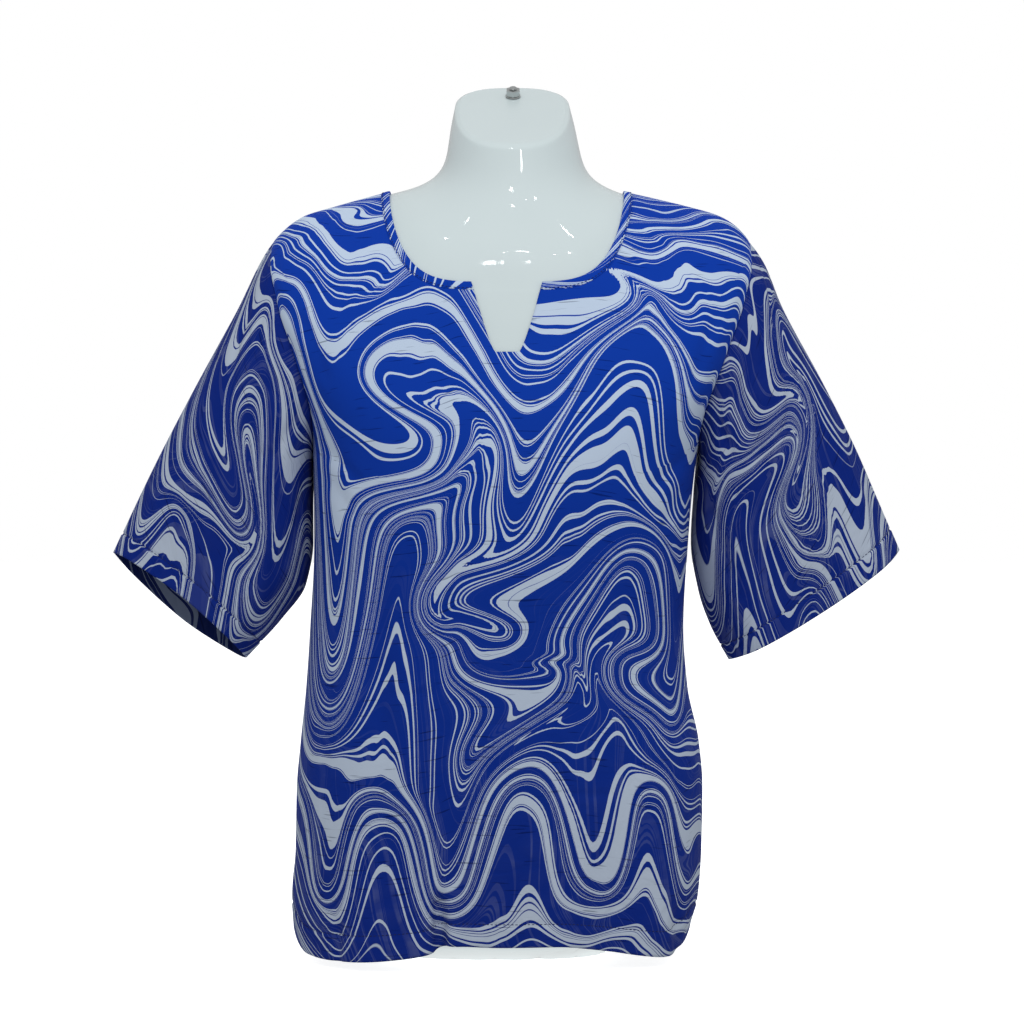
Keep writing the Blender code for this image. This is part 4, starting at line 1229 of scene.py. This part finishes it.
def stud_part(bm, height, thickness, low_radius, high_radius, segments):
    """Add a short cone or cylinder to the stud, a height above its foot."""
    upright = STUD_OUT.to_track_quat("Z", "Y").to_matrix().to_4x4()
    place = Matrix.Translation(stud_foot + STUD_OUT * (height + thickness / 2))
    return bmesh.ops.create_cone(bm, cap_ends=True, segments=segments, radius1=low_radius,
                                 radius2=high_radius, depth=thickness, matrix=place @ upright)


stud_bm = bmesh.new()
stud_part(stud_bm, 0.0, WASHER["thickness"], WASHER["radius"],
          WASHER["radius"] - WASHER["taper"], ROUND_SIDES)
nut_corners = stud_part(stud_bm, WASHER["thickness"], NUT["height"], NUT["radius"], NUT["radius"],
                        NUT_SIDES)
nut_edges = {edge for vert in nut_corners["verts"] for edge in vert.link_edges}
bmesh.ops.bevel(stud_bm, geom=list(nut_edges), offset=NUT["bevel"], affect="EDGES", segments=2,
                profile=0.5, material=-1)
level = WASHER["thickness"] + NUT["height"]
ends = [THREAD["inner"], THREAD["outer"]]
for _ in range(2 * THREAD["turns"]):
    stud_part(stud_bm, level, THREAD["pitch"] / 2, *ends, THREAD_SIDES)
    ends.reverse()
    level += THREAD["pitch"] / 2
bmesh.ops.recalc_face_normals(stud_bm, faces=stud_bm.faces)
stud_piece = finished(stud_bm, "hanging_stud", smooth=False)
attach(stud_piece, "root")
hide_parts("neck_stud")
print("stud", round(level * 1000.0, 1), "mm high")

# %% [markdown]
# The stud is zinc-plated steel, dulled by handling. Its roughness varies in fine turning marks.
# %% Zinc-plated steel
TURNING_MARKS = 1400.0

steel, steel_tree, steel_shader = new_material("zinc-plated steel", Metallic=1.0,
                                               Base_Color=linear("#c4c8c8"))
steel_place = add_node(steel_tree, "TexCoord", take="Object")
steel_marks = add_node(steel_tree, "TexNoise", Vector=steel_place, Scale=TURNING_MARKS, Detail=2.0)
steel_rough = add_node(steel_tree, "MapRange", Value=steel_marks, To_Min=0.25, To_Max=0.45)
steel_tree.links.new(steel_rough, steel_shader.inputs["Roughness"])
stud_piece.data.materials.append(steel)

# %% [markdown]
# The picture is a plain studio shot: a level camera in front at chest height, a large soft lamp
# above it, and a lit white table that runs into a white surround. The small lamps add hardly any
# light, but their reflections draw the sharp highlights on the glossy form, so only they are
# mirrored in it.
# %% Camera
CAMERA_DISTANCE = 2.60
CAMERA_HEIGHT = 0.380
FRAME_WIDTH = 0.8806
SENSOR_MM = 36.0
WHITE = "#ffffff"

camera_data = bpy.data.cameras.new("camera")
camera_data.sensor_width = SENSOR_MM
camera_data.lens = SENSOR_MM * CAMERA_DISTANCE / FRAME_WIDTH
camera = bpy.data.objects.new("camera", camera_data)
camera.location = (0.0, -CAMERA_DISTANCE, CAMERA_HEIGHT)
camera.rotation_euler = (math.pi / 2, 0.0, 0.0)
bpy.context.scene.collection.objects.link(camera)
bpy.context.scene.camera = camera

# %% Lights
LAMPS = (
    ("name", "x", "y", "z", "width", "height", "watts", "mirrored"),
    ("key", 0.12, -1.5, 2.10, 1.2, 0.8, 18.0, False),
    ("back", 0.0, 1.8, 1.8, 1.6, 1.0, 14.0, False),
    ("neck lamp", 0.60, -4.00, 2.72, 0.14, 0.62, 5.0, True),
    ("chest lamp", -0.04, -1.50, 2.12, 0.05, 0.14, 0.6, True),
    ("left high lamp", -0.41, -0.54, 2.50, 0.03, 0.03, 0.10, True),
    ("right high lamp", 0.38, -0.55, 2.50, 0.03, 0.03, 0.10, True),
    ("middle high lamp", 0.00, -1.17, 2.50, 0.03, 0.03, 0.15, True),
    ("right lamp", 0.54, -1.50, 2.96, 0.06, 0.12, 0.7, True),
    ("small lamp", 0.22, -1.33, 2.50, 0.03, 0.03, 0.08, True),
)
AIM = Vector((0.0, 0.0, 0.52))
ROOM_LIGHT = 0.52

for name, x, y, z, width, height, watts, mirrored in LAMPS[1:]:
    lamp_data = bpy.data.lights.new(name, "AREA")
    lamp_data.shape = "RECTANGLE"
    lamp_data.size = width
    lamp_data.size_y = height
    lamp_data.energy = watts
    lamp = bpy.data.objects.new(name, lamp_data)
    lamp.location = (x, y, z)
    lamp.visible_glossy = mirrored
    lamp.visible_camera = False
    lamp.rotation_euler = (AIM - Vector((x, y, z))).to_track_quat("-Z", "Y").to_euler()
    bpy.context.scene.collection.objects.link(lamp)

world = bpy.data.worlds.new("studio")
world.use_nodes = True
sky = world.node_tree.nodes["Background"]
seen_by_camera = add_node(world.node_tree, "LightPath", take="Is Camera Ray")
brightness = add_node(world.node_tree, "MapRange", Value=seen_by_camera, To_Min=ROOM_LIGHT,
                      To_Max=1.0)
world.node_tree.links.new(brightness, sky.inputs["Strength"])
sky.inputs["Color"].default_value = linear(WHITE)
bpy.context.scene.world = world
bpy.context.scene.view_settings.view_transform = "Standard"

# %% Floor
FLOOR_HALF_WIDTH = 20.0
TABLE_GLOW = 0.85

floor_bm = bmesh.new()
bmesh.ops.create_grid(floor_bm, x_segments=1, y_segments=1, size=FLOOR_HALF_WIDTH)
floor = finished(floor_bm, "floor", smooth=False)
floor_paint = new_material("opal acrylic light table", Base_Color=linear(WHITE), Roughness=0.9,
                           Specular_IOR_Level=0.0, Emission_Color=linear(WHITE),
                           Emission_Strength=TABLE_GLOW)[0]
floor.data.materials.append(floor_paint)
floor.visible_diffuse = False
floor.visible_glossy = False
